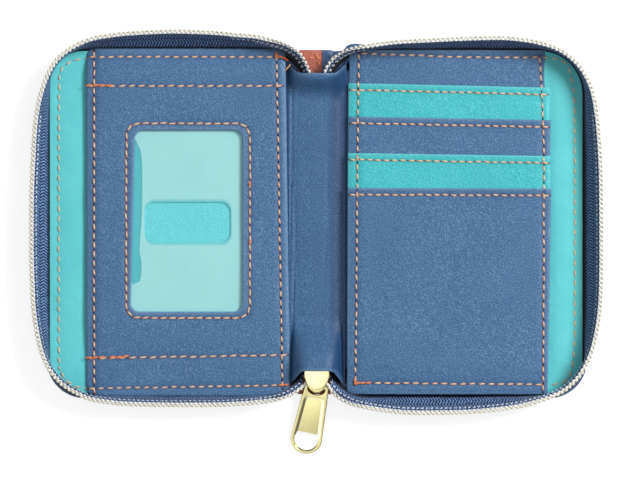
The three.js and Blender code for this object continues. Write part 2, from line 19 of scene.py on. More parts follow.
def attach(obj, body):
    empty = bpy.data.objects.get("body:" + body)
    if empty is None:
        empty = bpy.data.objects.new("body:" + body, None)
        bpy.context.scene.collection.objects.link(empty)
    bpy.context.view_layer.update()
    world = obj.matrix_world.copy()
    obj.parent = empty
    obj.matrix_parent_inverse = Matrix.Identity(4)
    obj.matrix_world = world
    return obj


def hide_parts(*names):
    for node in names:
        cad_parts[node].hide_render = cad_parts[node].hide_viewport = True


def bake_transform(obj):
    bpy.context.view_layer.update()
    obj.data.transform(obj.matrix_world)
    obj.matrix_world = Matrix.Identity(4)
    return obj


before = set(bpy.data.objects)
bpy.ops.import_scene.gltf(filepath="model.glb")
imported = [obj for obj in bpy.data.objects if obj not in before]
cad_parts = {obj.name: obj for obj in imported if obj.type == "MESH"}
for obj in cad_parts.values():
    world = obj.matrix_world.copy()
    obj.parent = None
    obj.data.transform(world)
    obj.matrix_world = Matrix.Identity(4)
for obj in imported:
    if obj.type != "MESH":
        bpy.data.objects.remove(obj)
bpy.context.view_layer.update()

LOG = logging.getLogger("wallet")
MM = 0.001
UP = np.array([0.0, 0.0, 1.0])
SEED = 7
FULL_TURN = 2 * math.pi
FULL_WAVE = 6.2832

Array = np.ndarray
Height = Callable[[Array, Array], Array]
Pair = tuple[float, float]
Object = bpy.types.Object
Material = bpy.types.Material
Socket = bpy.types.NodeSocket


class Body(Enum):
    """The moving bodies of the frame."""

    SPINE = "spine"
    LEFT = "left_cover"
    RIGHT = "right_cover"
    SLIDER = "slider"
    PULL = "pull"


class Side(Enum):
    """A half of the wallet, with the sign of its X."""

    LEFT = -1
    RIGHT = 1

    @property
    def body(self) -> Body:
        """The cover that this half rides on."""
        return Body.LEFT if self is Side.LEFT else Body.RIGHT

    @property
    def word(self) -> str:
        """The half's name as it stands in piece names."""
        return self.name.lower()


# Lines and surfaces


def fade(start: float, stop: float, value: Array) -> Array:
    """Smooth step from 0 at start to 1 at stop: three squares less two cubes of the share."""
    share = np.clip((np.asarray(value, float) - start) / (stop - start), 0.0, 1.0)
    return share * share * (3.0 - 2.0 * share)


def unit(vectors: Array) -> Array:
    """The same vectors with length 1."""
    return vectors / np.maximum(np.linalg.norm(vectors, axis=-1, keepdims=True), 1e-12)


def run_along(line: Array) -> Array:
    """Distance run at each point of a line, 0 at its start."""
    steps = np.linalg.norm(np.diff(line, axis=0), axis=1)
    return np.concatenate([[0.0], np.cumsum(steps)])


def run_across(rows: Array) -> Array:
    """Distance run along each row of a grid of points, 0 at its start."""
    steps = np.linalg.norm(np.diff(rows, axis=1), axis=2)
    return np.column_stack([np.zeros(len(rows)), np.cumsum(steps, axis=1)])


def resampled(line: Array, count: int) -> Array:
    """The same line with points at equal distances along it.

    Args:
        line: points, one row each.
        count: how many points it gets.

    Returns:
        The new points.
    """
    run = run_along(line)
    wanted = np.linspace(0.0, run[-1], count)
    return np.stack([np.interp(wanted, run, line[:, k]) for k in range(line.shape[1])], axis=1)


def curve_through(knots: Array | list, count: int) -> Array:
    """A smooth line through knots, evenly spaced.

    Between two knots the point is the Catmull-Rom cubic of those two and their outer
    neighbours.

    Args:
        knots: the points it passes through.
        count: how many points it gets.

    Returns:
        The points, one row each.
    """
    knots = np.asarray(knots, float)
    ends = np.vstack([2 * knots[0] - knots[1], knots, 2 * knots[-1] - knots[-2]])
    a, b, c, d = (ends[i:len(ends) - 3 + i, None, :] for i in range(4))
    t = np.linspace(0.0, 1.0, 24, endpoint=False)[None, :, None]
    cubic = 2 * b + (c - a) * t + (2 * a - 5 * b + 4 * c - d) * t**2
    cubic = 0.5 * (cubic + (3 * b - a - 3 * c + d) * t**3)
    return resampled(np.vstack([cubic.reshape(-1, knots.shape[1]), knots[-1]]), count)


def distance_to(line: Array, x: Array, y: Array) -> Array:
    """Distance from each point to a line, seen from above.

    Each point is dropped square on each straight piece, kept between the piece's ends,
    and the shortest drop counts.

    Args:
        line: points of the line.
        x: X of the points, any shape.
        y: Y of the points.

    Returns:
        The distances, in the same shape.
    """
    start, stop = line[:-1, :2], line[1:, :2]
    along = stop - start
    px, py = x.reshape(-1, 1) - start[:, 0], y.reshape(-1, 1) - start[:, 1]
    length = np.maximum((along**2).sum(axis=1), 1e-12)
    share = np.clip((px * along[:, 0] + py * along[:, 1]) / length, 0.0, 1.0)
    gap = (px - share * along[:, 0]) ** 2 + (py - share * along[:, 1]) ** 2
    return np.sqrt(gap.min(axis=1)).reshape(x.shape)


def ruled(start: float, stop: float, step: float, roll: float = 0.0) -> Array:
    """Places of grid lines, closer together at both ends, where an edge is rolled.

    Args:
        start: the first place.
        stop: the last place.
        step: distance between places away from the ends.
        roll: width of the rolled edge, spaced as a quarter circle.

    Returns:
        The places.
    """
    bend = roll * (1.0 - np.cos(np.linspace(0.0, math.pi / 2, 6 if roll > 0.0 else 1)))
    inner = np.linspace(start + bend[-1], stop - bend[-1], max(int((stop - start) / step), 2))
    return np.concatenate([start + bend[:-1], inner, (stop - bend[:-1])[::-1]])


def circle(count: int) -> Array:
    """Angles evenly round a full turn, without its end."""
    return np.linspace(0.0, FULL_TURN, count, endpoint=False)


def arc(centre: Pair, radii: Pair, start: float, stop: float, count: int) -> Array:
    """Part of an ellipse: the centre, and the radii times the angle's cosine and sine.

    Args:
        centre: the ellipse's middle.
        radii: its half width and half height.
        start: the first angle in degrees.
        stop: the last angle in degrees.
        count: how many points it gets.

    Returns:
        The points, one row each.
    """
    angle = np.radians(np.linspace(start, stop, count))
    return np.stack([np.cos(angle), np.sin(angle)], axis=1) * radii + centre


def closed(line: Array) -> Array:
    """The line with its first point once more at its end."""
    return np.vstack([line, line[:1]])


def mirrored(line: Array) -> Array:
    """A flat line's mirror image across X = 0, run the other way."""
    return (line * (-1, 1))[::-1]


def flat_at(height: float) -> Height:
    """A surface that stands at one height."""
    return lambda x, y: np.full(x.shape, height)


@dataclass
class Shape:
    """A mesh being made: points, four- and three-sided faces, and values for each point."""

    points: Array
    quads: Array = field(default_factory=lambda: np.zeros((0, 4), int))
    tris: Array = field(default_factory=lambda: np.zeros((0, 3), int))
    uv: Array | None = None
    values: dict[str, Array] = field(default_factory=dict)

    def outward(self) -> "Shape":
        """This shape, its faces turned over if its volume comes out negative."""
        fans = [self.tris, self.quads[:, [0, 1, 2]], self.quads[:, [0, 2, 3]]]
        a, b, c = (self.points[np.concatenate(fans)[:, k]] for k in range(3))
        if (a * np.cross(b, c)).sum() < 0.0:
            self.quads = self.quads[:, ::-1]
            self.tris = self.tris[:, ::-1]
        return self

    def moved(self, matrix: Matrix) -> "Shape":
        """This shape, carried by a turn and a shift given in millimetres."""
        turn = np.array(matrix, float)
        self.points = self.points @ turn[:3, :3].T + turn[:3, 3]
        return self


def joined(shapes: list[Shape]) -> Shape:
    """Several shapes as one.

    Args:
        shapes: the shapes, which carry the same kinds of values.

    Returns:
        One shape with all their points and faces.
    """
    starts = np.cumsum([0] + [len(s.points) for s in shapes[:-1]])
    kept = shapes[0].values
    return Shape(
        np.concatenate([s.points for s in shapes]),
        np.concatenate([s.quads + at for s, at in zip(shapes, starts)]),
        np.concatenate([s.tris + at for s, at in zip(shapes, starts)]),
        None if shapes[0].uv is None else np.concatenate([s.uv for s in shapes]),
        {name: np.concatenate([s.values[name] for s in shapes]) for name in kept},
    )


def grid_quads(rows: int, columns: int, wrap: bool = False) -> Array:
    """Faces between neighbours of a grid of points.

    Args:
        rows: how many rows the grid has.
        columns: how many columns it has.
        wrap: whether the last column meets the first.

    Returns:
        The four points of each face.
    """
    row = np.arange(rows - 1)[:, None] * columns
    column = np.arange(columns if wrap else columns - 1)[None, :]
    after = (column + 1) % columns
    corners = [row + column, row + after, row + columns + after, row + columns + column]
    return np.stack(np.broadcast_arrays(*corners), axis=-1).reshape(-1, 4)


def tube_of(rings: Array, uv: Array | None = None) -> Shape:
    """A closed body from rings of points: its walls, and a fan to the middle of each end.

    Args:
        rings: points, as ring by place round the ring by coordinate.
        uv: a pattern place for each point, or nothing.

    Returns:
        The closed shape, its faces pointing out.
    """
    count, around = rings.shape[:2]
    points = np.vstack([rings.reshape(-1, 3), rings[0].mean(axis=0), rings[-1].mean(axis=0)])
    place = np.arange(around)
    after = (place + 1) % around
    first, last = count * around, (count - 1) * around
    low = np.stack([np.full(around, first), after, place], axis=1)
    high = np.stack([np.full(around, first + 1), last + place, last + after], axis=1)
    if uv is not None:
        uv = np.vstack([uv.reshape(-1, 2), uv[0].mean(axis=0), uv[-1].mean(axis=0)])
    return Shape(points, grid_quads(count, around, True), np.vstack([low, high]), uv).outward()


def wire_round(line: Array, first: Array, second: Array, sides: int) -> Array:
    """Rings round a line: one direction times the angle's cosine, and one times its sine.

    Args:
        line: the wire's middle, one row each.
        first: a direction at each point, as long as the wire is thick there.
        second: a direction square to it.
        sides: how many points a ring has.

    Returns:
        Points, as ring by place round the ring by coordinate.
    """
    around = circle(sides)[None, :, None]
    return line[:, None] + np.cos(around) * first[:, None] + np.sin(around) * second[:, None]


def thick(middle: Array, depth: Array, wrap: bool = False, uv: Array | None = None) -> Shape:
    """A closed sheet of some thickness round a surface.

    Each face stands half the depth off the surface, along the cross product of the
    surface's two directions. Walls join the two faces along the edges.

    Args:
        middle: the surface, as row by column by coordinate.
        depth: thickness at each point.
        wrap: whether the last column meets the first, as round a window.
        uv: a pattern place for each point, or nothing.

    Returns:
        The closed shape, its faces pointing out.
    """
    rows, columns = middle.shape[:2]
    padded = np.concatenate([middle[:, -2:], middle, middle[:, :2]], axis=1) if wrap else middle
    across = np.gradient(padded, axis=1)
    across = across[:, 2:-2] if wrap else across
    square = unit(np.cross(across, np.gradient(middle, axis=0)))
    half = square * depth[..., None] / 2.0
    points = np.concatenate([(middle + half).reshape(-1, 3), (middle - half).reshape(-1, 3)])
    face = grid_quads(rows, columns, wrap)
    total = rows * columns
    index = np.arange(total).reshape(rows, columns)
    if wrap:
        loops = [index[0], index[-1][::-1]]
    else:
        loops = [np.concatenate([index[0], index[1:, -1], index[-1, -2::-1], index[-2:0:-1, 0]])]
    walls = []
    for loop in loops:
        after = np.roll(loop, -1)
        walls.append(np.stack([after, loop, loop + total, after + total], axis=1))
    quads = np.concatenate([face, face[:, ::-1] + total, *walls])
    if uv is not None:
        uv = np.tile(uv.reshape(-1, 2), (2, 1))
    return Shape(points, quads, uv=uv).outward()


def scattered(base: Shape, place: Array, along: Array, across: Array, above: Array) -> Shape:
    """A small shape repeated, each copy carried on three directions of its own.

    Args:
        base: the small shape.
        place: where each copy stands.
        along: what the base's X becomes for each copy, its length included.
        across: what its Y becomes.
        above: what its Z becomes.

    Returns:
        All the copies as one shape.
    """
    x, y, z = (base.points[None, :, k, None] for k in range(3))
    points = place[:, None] + x * along[:, None] + y * across[:, None] + z * above[:, None]
    shift = (np.arange(len(place)) * len(base.points))[:, None, None]
    uv = None if base.uv is None else np.tile(base.uv, (len(place), 1))
    return Shape(
        points.reshape(-1, 3),
        (base.quads[None] + shift).reshape(-1, 4),
        (base.tris[None] + shift).reshape(-1, 3),
        uv,
    )


def placed(name: str, data: bpy.types.ID) -> Object:
    """A new object at the origin of the scene."""
    made = bpy.data.objects.new(name, data)
    bpy.context.scene.collection.objects.link(made)
    return made


def mesh_of(name: str, shape: Shape, material: Material, sharp: float) -> bpy.types.Mesh:
    """A shape as a mesh in metres.

    Args:
        name: the mesh's name.
        shape: its points, faces, pattern places and values.
        material: its finish.
        sharp: edges bent by more than this angle in degrees stay sharp.

    Returns:
        The mesh.
    """
    mesh = bpy.data.meshes.new(name)
    mesh.from_pydata(shape.points * MM, [], shape.quads.tolist() + shape.tris.tolist())
    mesh.polygons.foreach_set("use_smooth", np.ones(len(mesh.polygons), dtype=bool))
    if shape.uv is not None:
        corner = np.empty(len(mesh.loops), dtype=np.int32)
        mesh.loops.foreach_get("vertex_index", corner)
        mesh.uv_layers.new(name="UVMap").data.foreach_set("uv", shape.uv[corner].ravel())
    for label, value in shape.values.items():
        layer = mesh.attributes.new(label, "FLOAT", "POINT")
        layer.data.foreach_set("value", value.astype(np.float32))
    mesh.set_sharp_from_angle(angle=math.radians(sharp))
    mesh.materials.append(material)
    return mesh


def piece(name: str, shape: Shape, material: Material, body: Body,
          stands_for: tuple[str, ...] = (), fold: Pair | None = None,
          sharp: float = 50.0) -> Object:
    """Makes a piece that rides on a body, or, given a fold, is left unattached, and logs it.

    Args:
        name: the piece's name.
        shape: its shape.
        material: its finish.
        body: the body that it moves with.
        stands_for: the frame's nodes that it replaces.
        fold: how far from the spine's middle it would stay on the spine, and how far out it
        would go with the cover; a piece given one is left unattached.
        sharp: edges bent by more than this angle in degrees stay sharp.

    Returns:
        The piece, at the origin.
    """
    made = placed(name, mesh_of(name, shape, material, sharp))
    if fold:
        sign = -1 if body is Body.LEFT else 1
        low, high = (distance * sign * MM for distance in fold)
        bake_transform(made)
    else:
        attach(made, body.value)
    if stands_for:
        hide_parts(*stands_for)
    LOG.info("%s: %d faces", name, len(made.data.polygons))
    return made


# Finishes


def tone(code: int) -> tuple[float, float, float, float]:
    """A screen colour such as 0x466c9b as the linear colour that shaders take."""
    parts = np.array([(code >> shift) & 255 for shift in (16, 8, 0)]) / 255.0
    linear = np.where(parts <= 0.04045, parts / 12.92, ((parts + 0.055) / 1.055) ** 2.4)
    return (*linear.tolist(), 1.0)


class Graph:
    """The node graph of a material or of the world, made with short calls."""

    def __init__(self, name: str, world: bool = False) -> None:
        """Starts a material with one plain shader, or a world with its background."""
        self.owner = (bpy.data.worlds if world else bpy.data.materials).new(name)
        self.owner.use_nodes = True
        self.tree = self.owner.node_tree
        self.shader = self.tree.nodes["Background" if world else "Principled BSDF"]

    def node(self, kind: str, inputs: dict | None = None, **settings: object) -> bpy.types.Node:
        """Adds a node.

        Args:
            kind: its type without the ShaderNode prefix.
            inputs: what each input takes, by name or number.
            settings: the node's own settings.

        Returns:
            The node.
        """
        made = self.tree.nodes.new("ShaderNode" + kind)
        for label, value in settings.items():
            setattr(made, label, value)
        for label, value in (inputs or {}).items():
            self.put(made.inputs[label], value)
        return made

    def put(self, target: Socket, value: object) -> None:
        """Fills an input.

        Args:
            target: the input.
            value: a socket to link, a whole number as a screen colour, or the input's value.
        """
        if isinstance(value, Socket):
            self.tree.links.new(value, target)
        else:
            target.default_value = tone(value) if isinstance(value, int) else value

    def surface(self, **inputs: object) -> bpy.types.ID:
        """Fills the shader's inputs.

        Args:
            inputs: what each takes, spaces in the names written as underscores.

        Returns:
            The finished material or world.
        """
        for label, value in inputs.items():
            self.put(self.shader.inputs[label.replace("_", " ")], value)
        return self.owner

    def place(self, size: float, source: str = "Object") -> Socket:
        """Coordinates in which one unit is size millimetres, or the pattern's own units."""
        coordinate = self.node("TexCoord").outputs[source]
        scale = 1.0 / (size * MM) if source == "Object" else 1.0 / size
        inputs = {0: coordinate, 1: (scale,) * 3}
        return self.node("VectorMath", inputs, operation="MULTIPLY").outputs[0]

    def noise(self, size: float, detail: float = 2.0, source: str = "Object") -> Socket:
        """Cloudy values whose lumps are about size millimetres across."""
        inputs = {"Vector": self.place(size, source), "Scale": 1.0, "Detail": detail}
        return self.node("TexNoise", inputs).outputs[0]

    def mix(self, factor: Socket | float, first: object, second: object) -> Socket:
        """First colour where the factor is 0, second where it is 1."""
        inputs = {0: factor, 6: first, 7: second}
        return self.node("Mix", inputs, data_type="RGBA").outputs[2]

    def sum(self, operation: str, first: object, second: object = 0.0) -> Socket:
        """One sum of two numbers."""
        return self.node("Math", {0: first, 1: second}, operation=operation).outputs[0]

    def between(self, value: Socket, low: float, high: float, start: float = 0.0,
                stop: float = 1.0) -> Socket:
        """The value moved from the range low to high into start to stop."""
        inputs = {"Value": value, "From Min": low, "From Max": high, "To Min": start,
                  "To Max": stop}
        return self.node("MapRange", inputs).outputs[0]

    def laid_over(self, colour: object, second: int, value: Socket, low: float, high: float,
                  most: float = 1.0, least: float = 0.0) -> Socket:
        """A colour with a second one laid over it as a value rises.

        Args:
            colour: the colour below.
            second: the screen colour above.
            value: what decides.
            low: the value at which the second colour's share is still the least.
            high: the value at which its share is the most.
            most: its share there.
            least: its share below.

        Returns:
            The mixed colour.
        """
        return self.mix(self.between(value, low, high, least, most), colour, second)

    def bump(self, height: Socket, depth: float, under: Socket | None = None) -> Socket:
        """A surface direction bent by a height.

        Args:
            height: what bends it.
            depth: millimetres that a height of 1 stands for.
            under: a direction that is bent already.

        Returns:
            The direction.
        """
        inputs = {"Height": height, "Distance": depth * MM, "Strength": 1.0}
        if under is not None:
            inputs["Normal"] = under
        return self.node("Bump", inputs).outputs[0]

    def value(self, label: str) -> Socket:
        """A value that the mesh carries for each point."""
        return self.node("Attribute", attribute_name=label).outputs["Fac"]


@dataclass(frozen=True)
class Leather:
    """Fine grained leather: small pale glints painted as highlights, a slow change of tone, painted
    shade in seam grooves and folds, and a painted highlight along rolled edges.
    """

    name: str
    colour: int
    joint: int
    painted_edge: int
    pebble: float = 0.7
    depth: float = 0.09
    roughness: float = 0.42
    uneven: float = 0.08
    glint: float = 0.36
    carries_wear: bool = True

    def material(self) -> Material:
        """The finish as a material."""
        graph = Graph(self.name)
        inputs = {"Vector": graph.place(self.pebble), "Scale": 1.0}
        cells = graph.node("TexVoronoi", inputs, feature="F1").outputs["Distance"]
        fine = graph.noise(0.26, 1.0)
        grain = graph.noise(0.4, 1.0)
        cloud = graph.noise(17.0, 3.0)
        creases = graph.noise(3.4, 4.0)
        colour = graph.laid_over(self.colour, self.joint, grain, 0.34, 0.5, 0.0, 0.4)
        # Painted highlight: small pale glints laid over the grain.
        colour = graph.laid_over(colour, self.painted_edge, grain, 0.52, 0.68, self.glint)
        colour = graph.laid_over(colour, self.joint, cloud, 0.35, 0.7, 0.2)
        if self.carries_wear:
            # Painted shade: darker in the seams' grooves, and on the spine lining where the card slots'
            # shadow falls.
            pressed = graph.sum("MULTIPLY", graph.value("pressed"), 0.4)
            colour = graph.mix(pressed, colour, self.joint)
            # Painted highlight along the rolled edges.
            edge = graph.sum("MULTIPLY", graph.value("edge"), 0.3)
            colour = graph.mix(edge, colour, self.painted_edge)
        height = graph.sum("MULTIPLY_ADD", cells, -1.0)
        graph.put(height.node.inputs[2], graph.sum("ADD", fine, grain))
        direction = graph.bump(height, self.depth, graph.bump(creases, self.depth * 2.2))
        rough = graph.between(fine, 0.3, 0.7, self.roughness - self.uneven,
                              self.roughness + self.uneven)
        return graph.surface(Base_Color=colour, Roughness=rough, Normal=direction,
                             Specular_IOR_Level=0.45)


@dataclass(frozen=True)
class Weave:
    """Plain woven cloth: over and under threads in two directions."""

    name: str
    colour: int
    shade: int
    thread: float = 0.42
    relief: float = 0.009
    swell: float = 0.18

    def material(self) -> Material:
        """The finish as a material."""
        graph = Graph(self.name)
        waves = []
        for direction in ("X", "Y"):
            inputs = {"Vector": graph.place(self.thread * FULL_WAVE), "Scale": 1.0,
                      "Distortion": 0.6, "Detail": 1.0}
            settings = {"wave_type": "BANDS", "bands_direction": direction}
            waves.append(graph.node("TexWave", inputs, **settings).outputs["Fac"])
        cross = graph.sum("MAXIMUM", *waves)
        cloud = graph.noise(9.0, 3.0)
        colour = graph.laid_over(self.colour, self.shade, cross, 0.2, 1.0, 0.0, 0.12)
        colour = graph.laid_over(colour, self.shade, cloud, 0.35, 0.7, 0.3)
        direction = graph.bump(cross, self.relief, graph.bump(graph.noise(4.0, 3.0), self.swell))
        return graph.surface(Base_Color=colour, Roughness=0.78, Normal=direction,
                             Sheen_Weight=0.15, Sheen_Roughness=0.5, Specular_IOR_Level=0.3)


@dataclass(frozen=True)
class Twill:
    """Zip tape: diagonal ribs that turn back half way across, with pale flecks.

    The pattern's own places are millimetres along and across the tape. It is dark up to
    the seam and comes to its full colour on the wall.
    """

    name: str
    colour: int
    fleck: int
    shadow: int = 0x0E1626
    rib: float = 1.0
    turn: float = 2.2
    slope: float = 0.42
    seam: float = 3.9
    wall: float = 5.1

    def material(self) -> Material:
        """The finish as a material."""
        graph = Graph(self.name)
        parts = graph.node("SeparateXYZ", {0: graph.place(1.0, "UV")}).outputs
        back = graph.sum("PINGPONG", parts[1], self.turn)
        slant = graph.sum("ADD", parts[0], graph.sum("MULTIPLY", back, self.slope))
        rib = graph.sum("SINE", graph.sum("MULTIPLY", slant, FULL_WAVE / self.rib))
        rib = graph.between(rib, 0.0, 0.5)
        row = graph.between(back, 0.0, self.turn * 0.16)
        rib = graph.sum("MULTIPLY", rib, row)
        fine = graph.noise(0.5, 2.0)
        fleck = graph.sum("MULTIPLY", rib, graph.between(fine, 0.38, 0.6, 0.3, 1.0))
        colour = graph.mix(fleck, self.colour, self.fleck)
        colour = graph.laid_over(colour, self.shadow, parts[1], self.seam, self.wall, 0.0, 1.0)
        return graph.surface(Base_Color=colour, Roughness=0.8, Normal=graph.bump(rib, 0.09),
                             Sheen_Weight=0.1, Specular_IOR_Level=0.3)


@dataclass(frozen=True)
class Nylon:
    """Satin plastic of the zip's coil, yellower on its outer turns."""

    name: str
    colour: int
    shade: int
    outer: int
    cord: int

    def material(self) -> Material:
        """The finish as a material."""
        graph = Graph(self.name)
        cloud = graph.noise(3.2, 2.0)
        colour = graph.laid_over(self.colour, self.shade, cloud, 0.4, 0.62, 0.5)
        colour = graph.mix(graph.value("outer"), colour, self.outer)
        colour = graph.mix(graph.value("bare"), colour, self.cord)
        direction = graph.bump(graph.noise(0.25, 2.0), 0.012)
        return graph.surface(Base_Color=colour, Roughness=0.34, Normal=direction,
                             Specular_IOR_Level=0.55)


@dataclass(frozen=True)
class Thread:
    """Sewing thread: a painted highlight where it arches up, so it is darker at its ends, with plies
    wound round.
    """

    name: str
    colour: int
    pale: int

    def material(self) -> Material:
        """The finish as a material."""
        graph = Graph(self.name)
        parts = graph.node("SeparateXYZ", {0: graph.place(1.0, "UV")}).outputs
        turned = graph.sum("ADD", graph.sum("MULTIPLY", parts[0], 2.0), parts[1])
        ply = graph.sum("SINE", graph.sum("MULTIPLY", turned, FULL_WAVE))
        ply = graph.between(ply, -1.0, 1.0)
        # Painted highlight: pale in the middle of each stitch, brighter on the plies.
        middle = graph.between(graph.sum("ABSOLUTE", parts[0]), 0.3, 0.85, 1.0, 0.0)
        shine = graph.sum("MULTIPLY", middle, graph.between(ply, 0.0, 0.7, 0.65, 1.0))
        colour = graph.mix(shine, self.colour, self.pale)
        colour = graph.laid_over(colour, self.colour, graph.noise(2.3, 1.0), 0.45, 0.7, 0.3)
        return graph.surface(Base_Color=colour, Roughness=0.5, Normal=graph.bump(ply, 0.05),
                             Sheen_Weight=0.2)


@dataclass(frozen=True)
class Brass:
    """Pale polished plating with faint handling marks."""

    name: str
    colour: int
    shade: int
    roughness: float

    def material(self) -> Material:
        """The finish as a material."""
        graph = Graph(self.name)
        cloud = graph.noise(2.5, 3.0)
        marks = graph.noise(0.35, 4.0)
        colour = graph.laid_over(self.colour, self.shade, cloud, 0.4, 0.7, 0.35)
        rough = graph.between(marks, 0.3, 0.7, self.roughness - 0.03, self.roughness + 0.05)
        direction = graph.bump(marks, 0.003, graph.bump(cloud, 0.008))
        return graph.surface(Base_Color=colour, Roughness=rough, Normal=direction, Metallic=1.0)


@dataclass(frozen=True)
class Film:
    """Clear pocket film: a pale veil over what lies behind, but for a strip at its left, where the veil
    is thinner and a darker teal is painted as shade.

    The strip's edge is given as places of X and Y.
    """

    name: str
    colour: int
    rim: int
    veil: float = 0.62
    uneven: float = 0.03
    soft_edge: float = 0.3
    strip: tuple[Pair, ...] = (
        (-59.9, -20.2), (-59.2, -19.9), (-58.2, -19.2), (-57.7, -16.9), (-57.6, -13.3),
        (-58.2, -9.7), (-58.15, -7.4), (-57.55, 1.0), (-57.35, 9.9), (-57.4, 18.8),
        (-57.75, 22.4), (-58.5, 24.7), (-59.5, 26.8), (-60.4, 28.0))

    def edge_at(self, graph: Graph, y: Socket) -> Socket:
        """The strip's edge as a curve through its places, read in millimetres.

        Args:
            graph: the film's graph.
            y: where on the film.

        Returns:
            The edge's X there.
        """
        places = np.array(self.strip)
        (left, low), (right, high) = places.min(axis=0), places.max(axis=0)
        node = graph.node("FloatCurve", {1: graph.between(y, low, high)})
        shares = (places - (left, low)) / (right - left, high - low)
        curve = node.mapping.curves[0]
        for x_share, y_share in shares[1:-1]:
            curve.points.new(y_share, x_share)
        curve.points[0].location = (0.0, shares[0, 0])
        curve.points[-1].location = (1.0, shares[-1, 0])
        node.mapping.update()
        return graph.between(node.outputs[0], 0.0, 1.0, left, right)

    def material(self) -> Material:
        """The finish as a material."""
        graph = Graph(self.name)
        parts = graph.node("SeparateXYZ", {0: graph.place(1.0)}).outputs
        past = graph.sum("SUBTRACT", parts[0], self.edge_at(graph, parts[1]))
        low, high = self.strip[0][1], self.strip[-1][1]
        side = graph.between(past, 0.0, self.soft_edge)
        outside = graph.between(parts[1], low, low - self.soft_edge)
        above = graph.between(parts[1], high - self.soft_edge, high)
        side = graph.sum("MAXIMUM", graph.sum("MAXIMUM", side, outside), above)
        veil = graph.between(graph.noise(16.0, 2.0), 0.3, 0.7, self.veil - self.uneven,
                             self.veil + self.uneven)
        edge = graph.value("edge")
        alpha = graph.sum("MULTIPLY", veil, graph.between(side, 0.0, 1.0, 0.5, 1.0))
        alpha = graph.sum("MAXIMUM", alpha, graph.sum("MULTIPLY", edge, 0.7))
        # Painted shade: the strip and the film's cut edges take the darker rim colour.
        colour = graph.mix(side, self.rim, self.colour)
        colour = graph.mix(edge, colour, self.rim)
        direction = graph.bump(graph.noise(18.0, 2.0), 0.3)
        return graph.surface(Base_Color=colour, Roughness=0.2, Alpha=alpha,
                             Normal=direction, Specular_IOR_Level=0.3)


@dataclass(frozen=True)
class Board:
    """Pressed fibre board, for the stiffeners inside the covers."""

    name: str
    colour: int
    shade: int

    def material(self) -> Material:
        """The finish as a material."""
        graph = Graph(self.name)
        fibre = graph.noise(0.8, 4.0)
        colour = graph.mix(fibre, self.colour, self.shade)
        return graph.surface(Base_Color=colour, Roughness=0.9, Normal=graph.bump(fibre, 0.05))


class Finishes:
    """Every finish of the wallet, made once."""

    def __init__(self) -> None:
        """Builds the materials."""
        self.blue = Leather("blue_leather", 0x43719E, 0x244D7B, 0x98BDDA).material()
        # A darker copy of the blue leather: painted shade on the outer leather and on the hem fold.
        self.shaded_blue = Leather("outer_leather", 0x304F7C, 0x1D365C, 0x6C8DB5).material()
        self.teal = Leather("teal_leather", 0x3ECBD1, 0x1FA6B0, 0x9BEAEC).material()
        # A darker copy of the blue leather: painted shade over the spine lining.
        self.spine = Leather("spine_shaded_leather", 0x396795, 0x1F446F, 0x82AACF).material()
        self.brown = Leather("brown_leather", 0xC86F5B, 0x7E3C33, 0xE0A08C).material()
        self.pocket = Leather("pocket_leather", 0x73E3EB, 0x66D6DE, 0x96E8EC, glint=0.15,
                              carries_wear=False).material()
        self.cloth = Weave("teal_lining", 0x70E0E3, 0x56CAD0).material()
        self.tape = Twill("zip_twill", 0x182B50, 0x8CB4EA).material()
        self.coil = Nylon("coil_nylon", 0xFCFBF7, 0xECECE6, 0xF9F1D9, 0x30476A).material()
        self.orange = Thread("orange_thread", 0xD1672E, 0xFFE4BE).material()
        self.knot = Thread("orange_knots", 0xDB5A22, 0xF7A070).material()
        self.peach = Thread("peach_thread", 0xDE9B60, 0xF9D6AA).material()
        self.white = Thread("white_thread", 0xC9CDD6, 0xFFFFFF).material()
        # Painted shade: the dark lenses that stand for the shade in the needle holes.
        self.hole = Board("painted_hole_shade", 0x16233B, 0x101A2B).material()
        self.plate = Brass("pale_plating", 0xF4E9B4, 0xEBDFA4, 0.3).material()
        self.brass = Brass("pale_brass", 0xDAD29A, 0xC4BB80, 0.34).material()
        self.polish = Brass("polished_slope", 0xF8F0C8, 0xEFE5B4, 0.17).material()
        self.film = Film("pocket_film", 0xC0FFFF, 0x70E0E6).material()
        self.board = Board("stiffener", 0x30507A, 0x26426A).material()


# Sewing


@dataclass(frozen=True)
class Seam:
    """A row of stitches seen from above."""

    path: tuple[Pair, ...]
    pitch: float = 3.05
    thread: float = 0.29
    fill: float = 0.84
    slant: float = 6.0
    hole: float = 0.34
    curved: bool = False

    def line(self) -> Array:
        """The seam's line, straight between its points or smooth through them."""
        knots = np.array(self.path, float)
        if self.curved:
            return curve_through(knots, max(int(run_along(knots)[-1] / 0.6), 8))
        return knots

    def groove(self, x: Array, y: Array, width: float = 0.75) -> Array:
        """How deep the seam's groove is: 1 on its line, falling off as a bell curve."""
        return np.exp(-(distance_to(self.line(), x, y) / width) ** 2)


def pressed_by(seams: list[Seam], x: Array, y: Array) -> Array:
    """The deepest of several seams' grooves at each point, from 0 to 1."""
    return np.max([np.zeros(x.shape)] + [seam.groove(x, y) for seam in seams], axis=0)


def doubled(*rows: tuple) -> list[Seam]:
    """Short runs sewn twice, each given by its start, end, pitch, fill and thread."""
    return [Seam((start, stop), pitch, thread, fill, hole=0.1)
            for start, stop, pitch, fill, thread in rows]


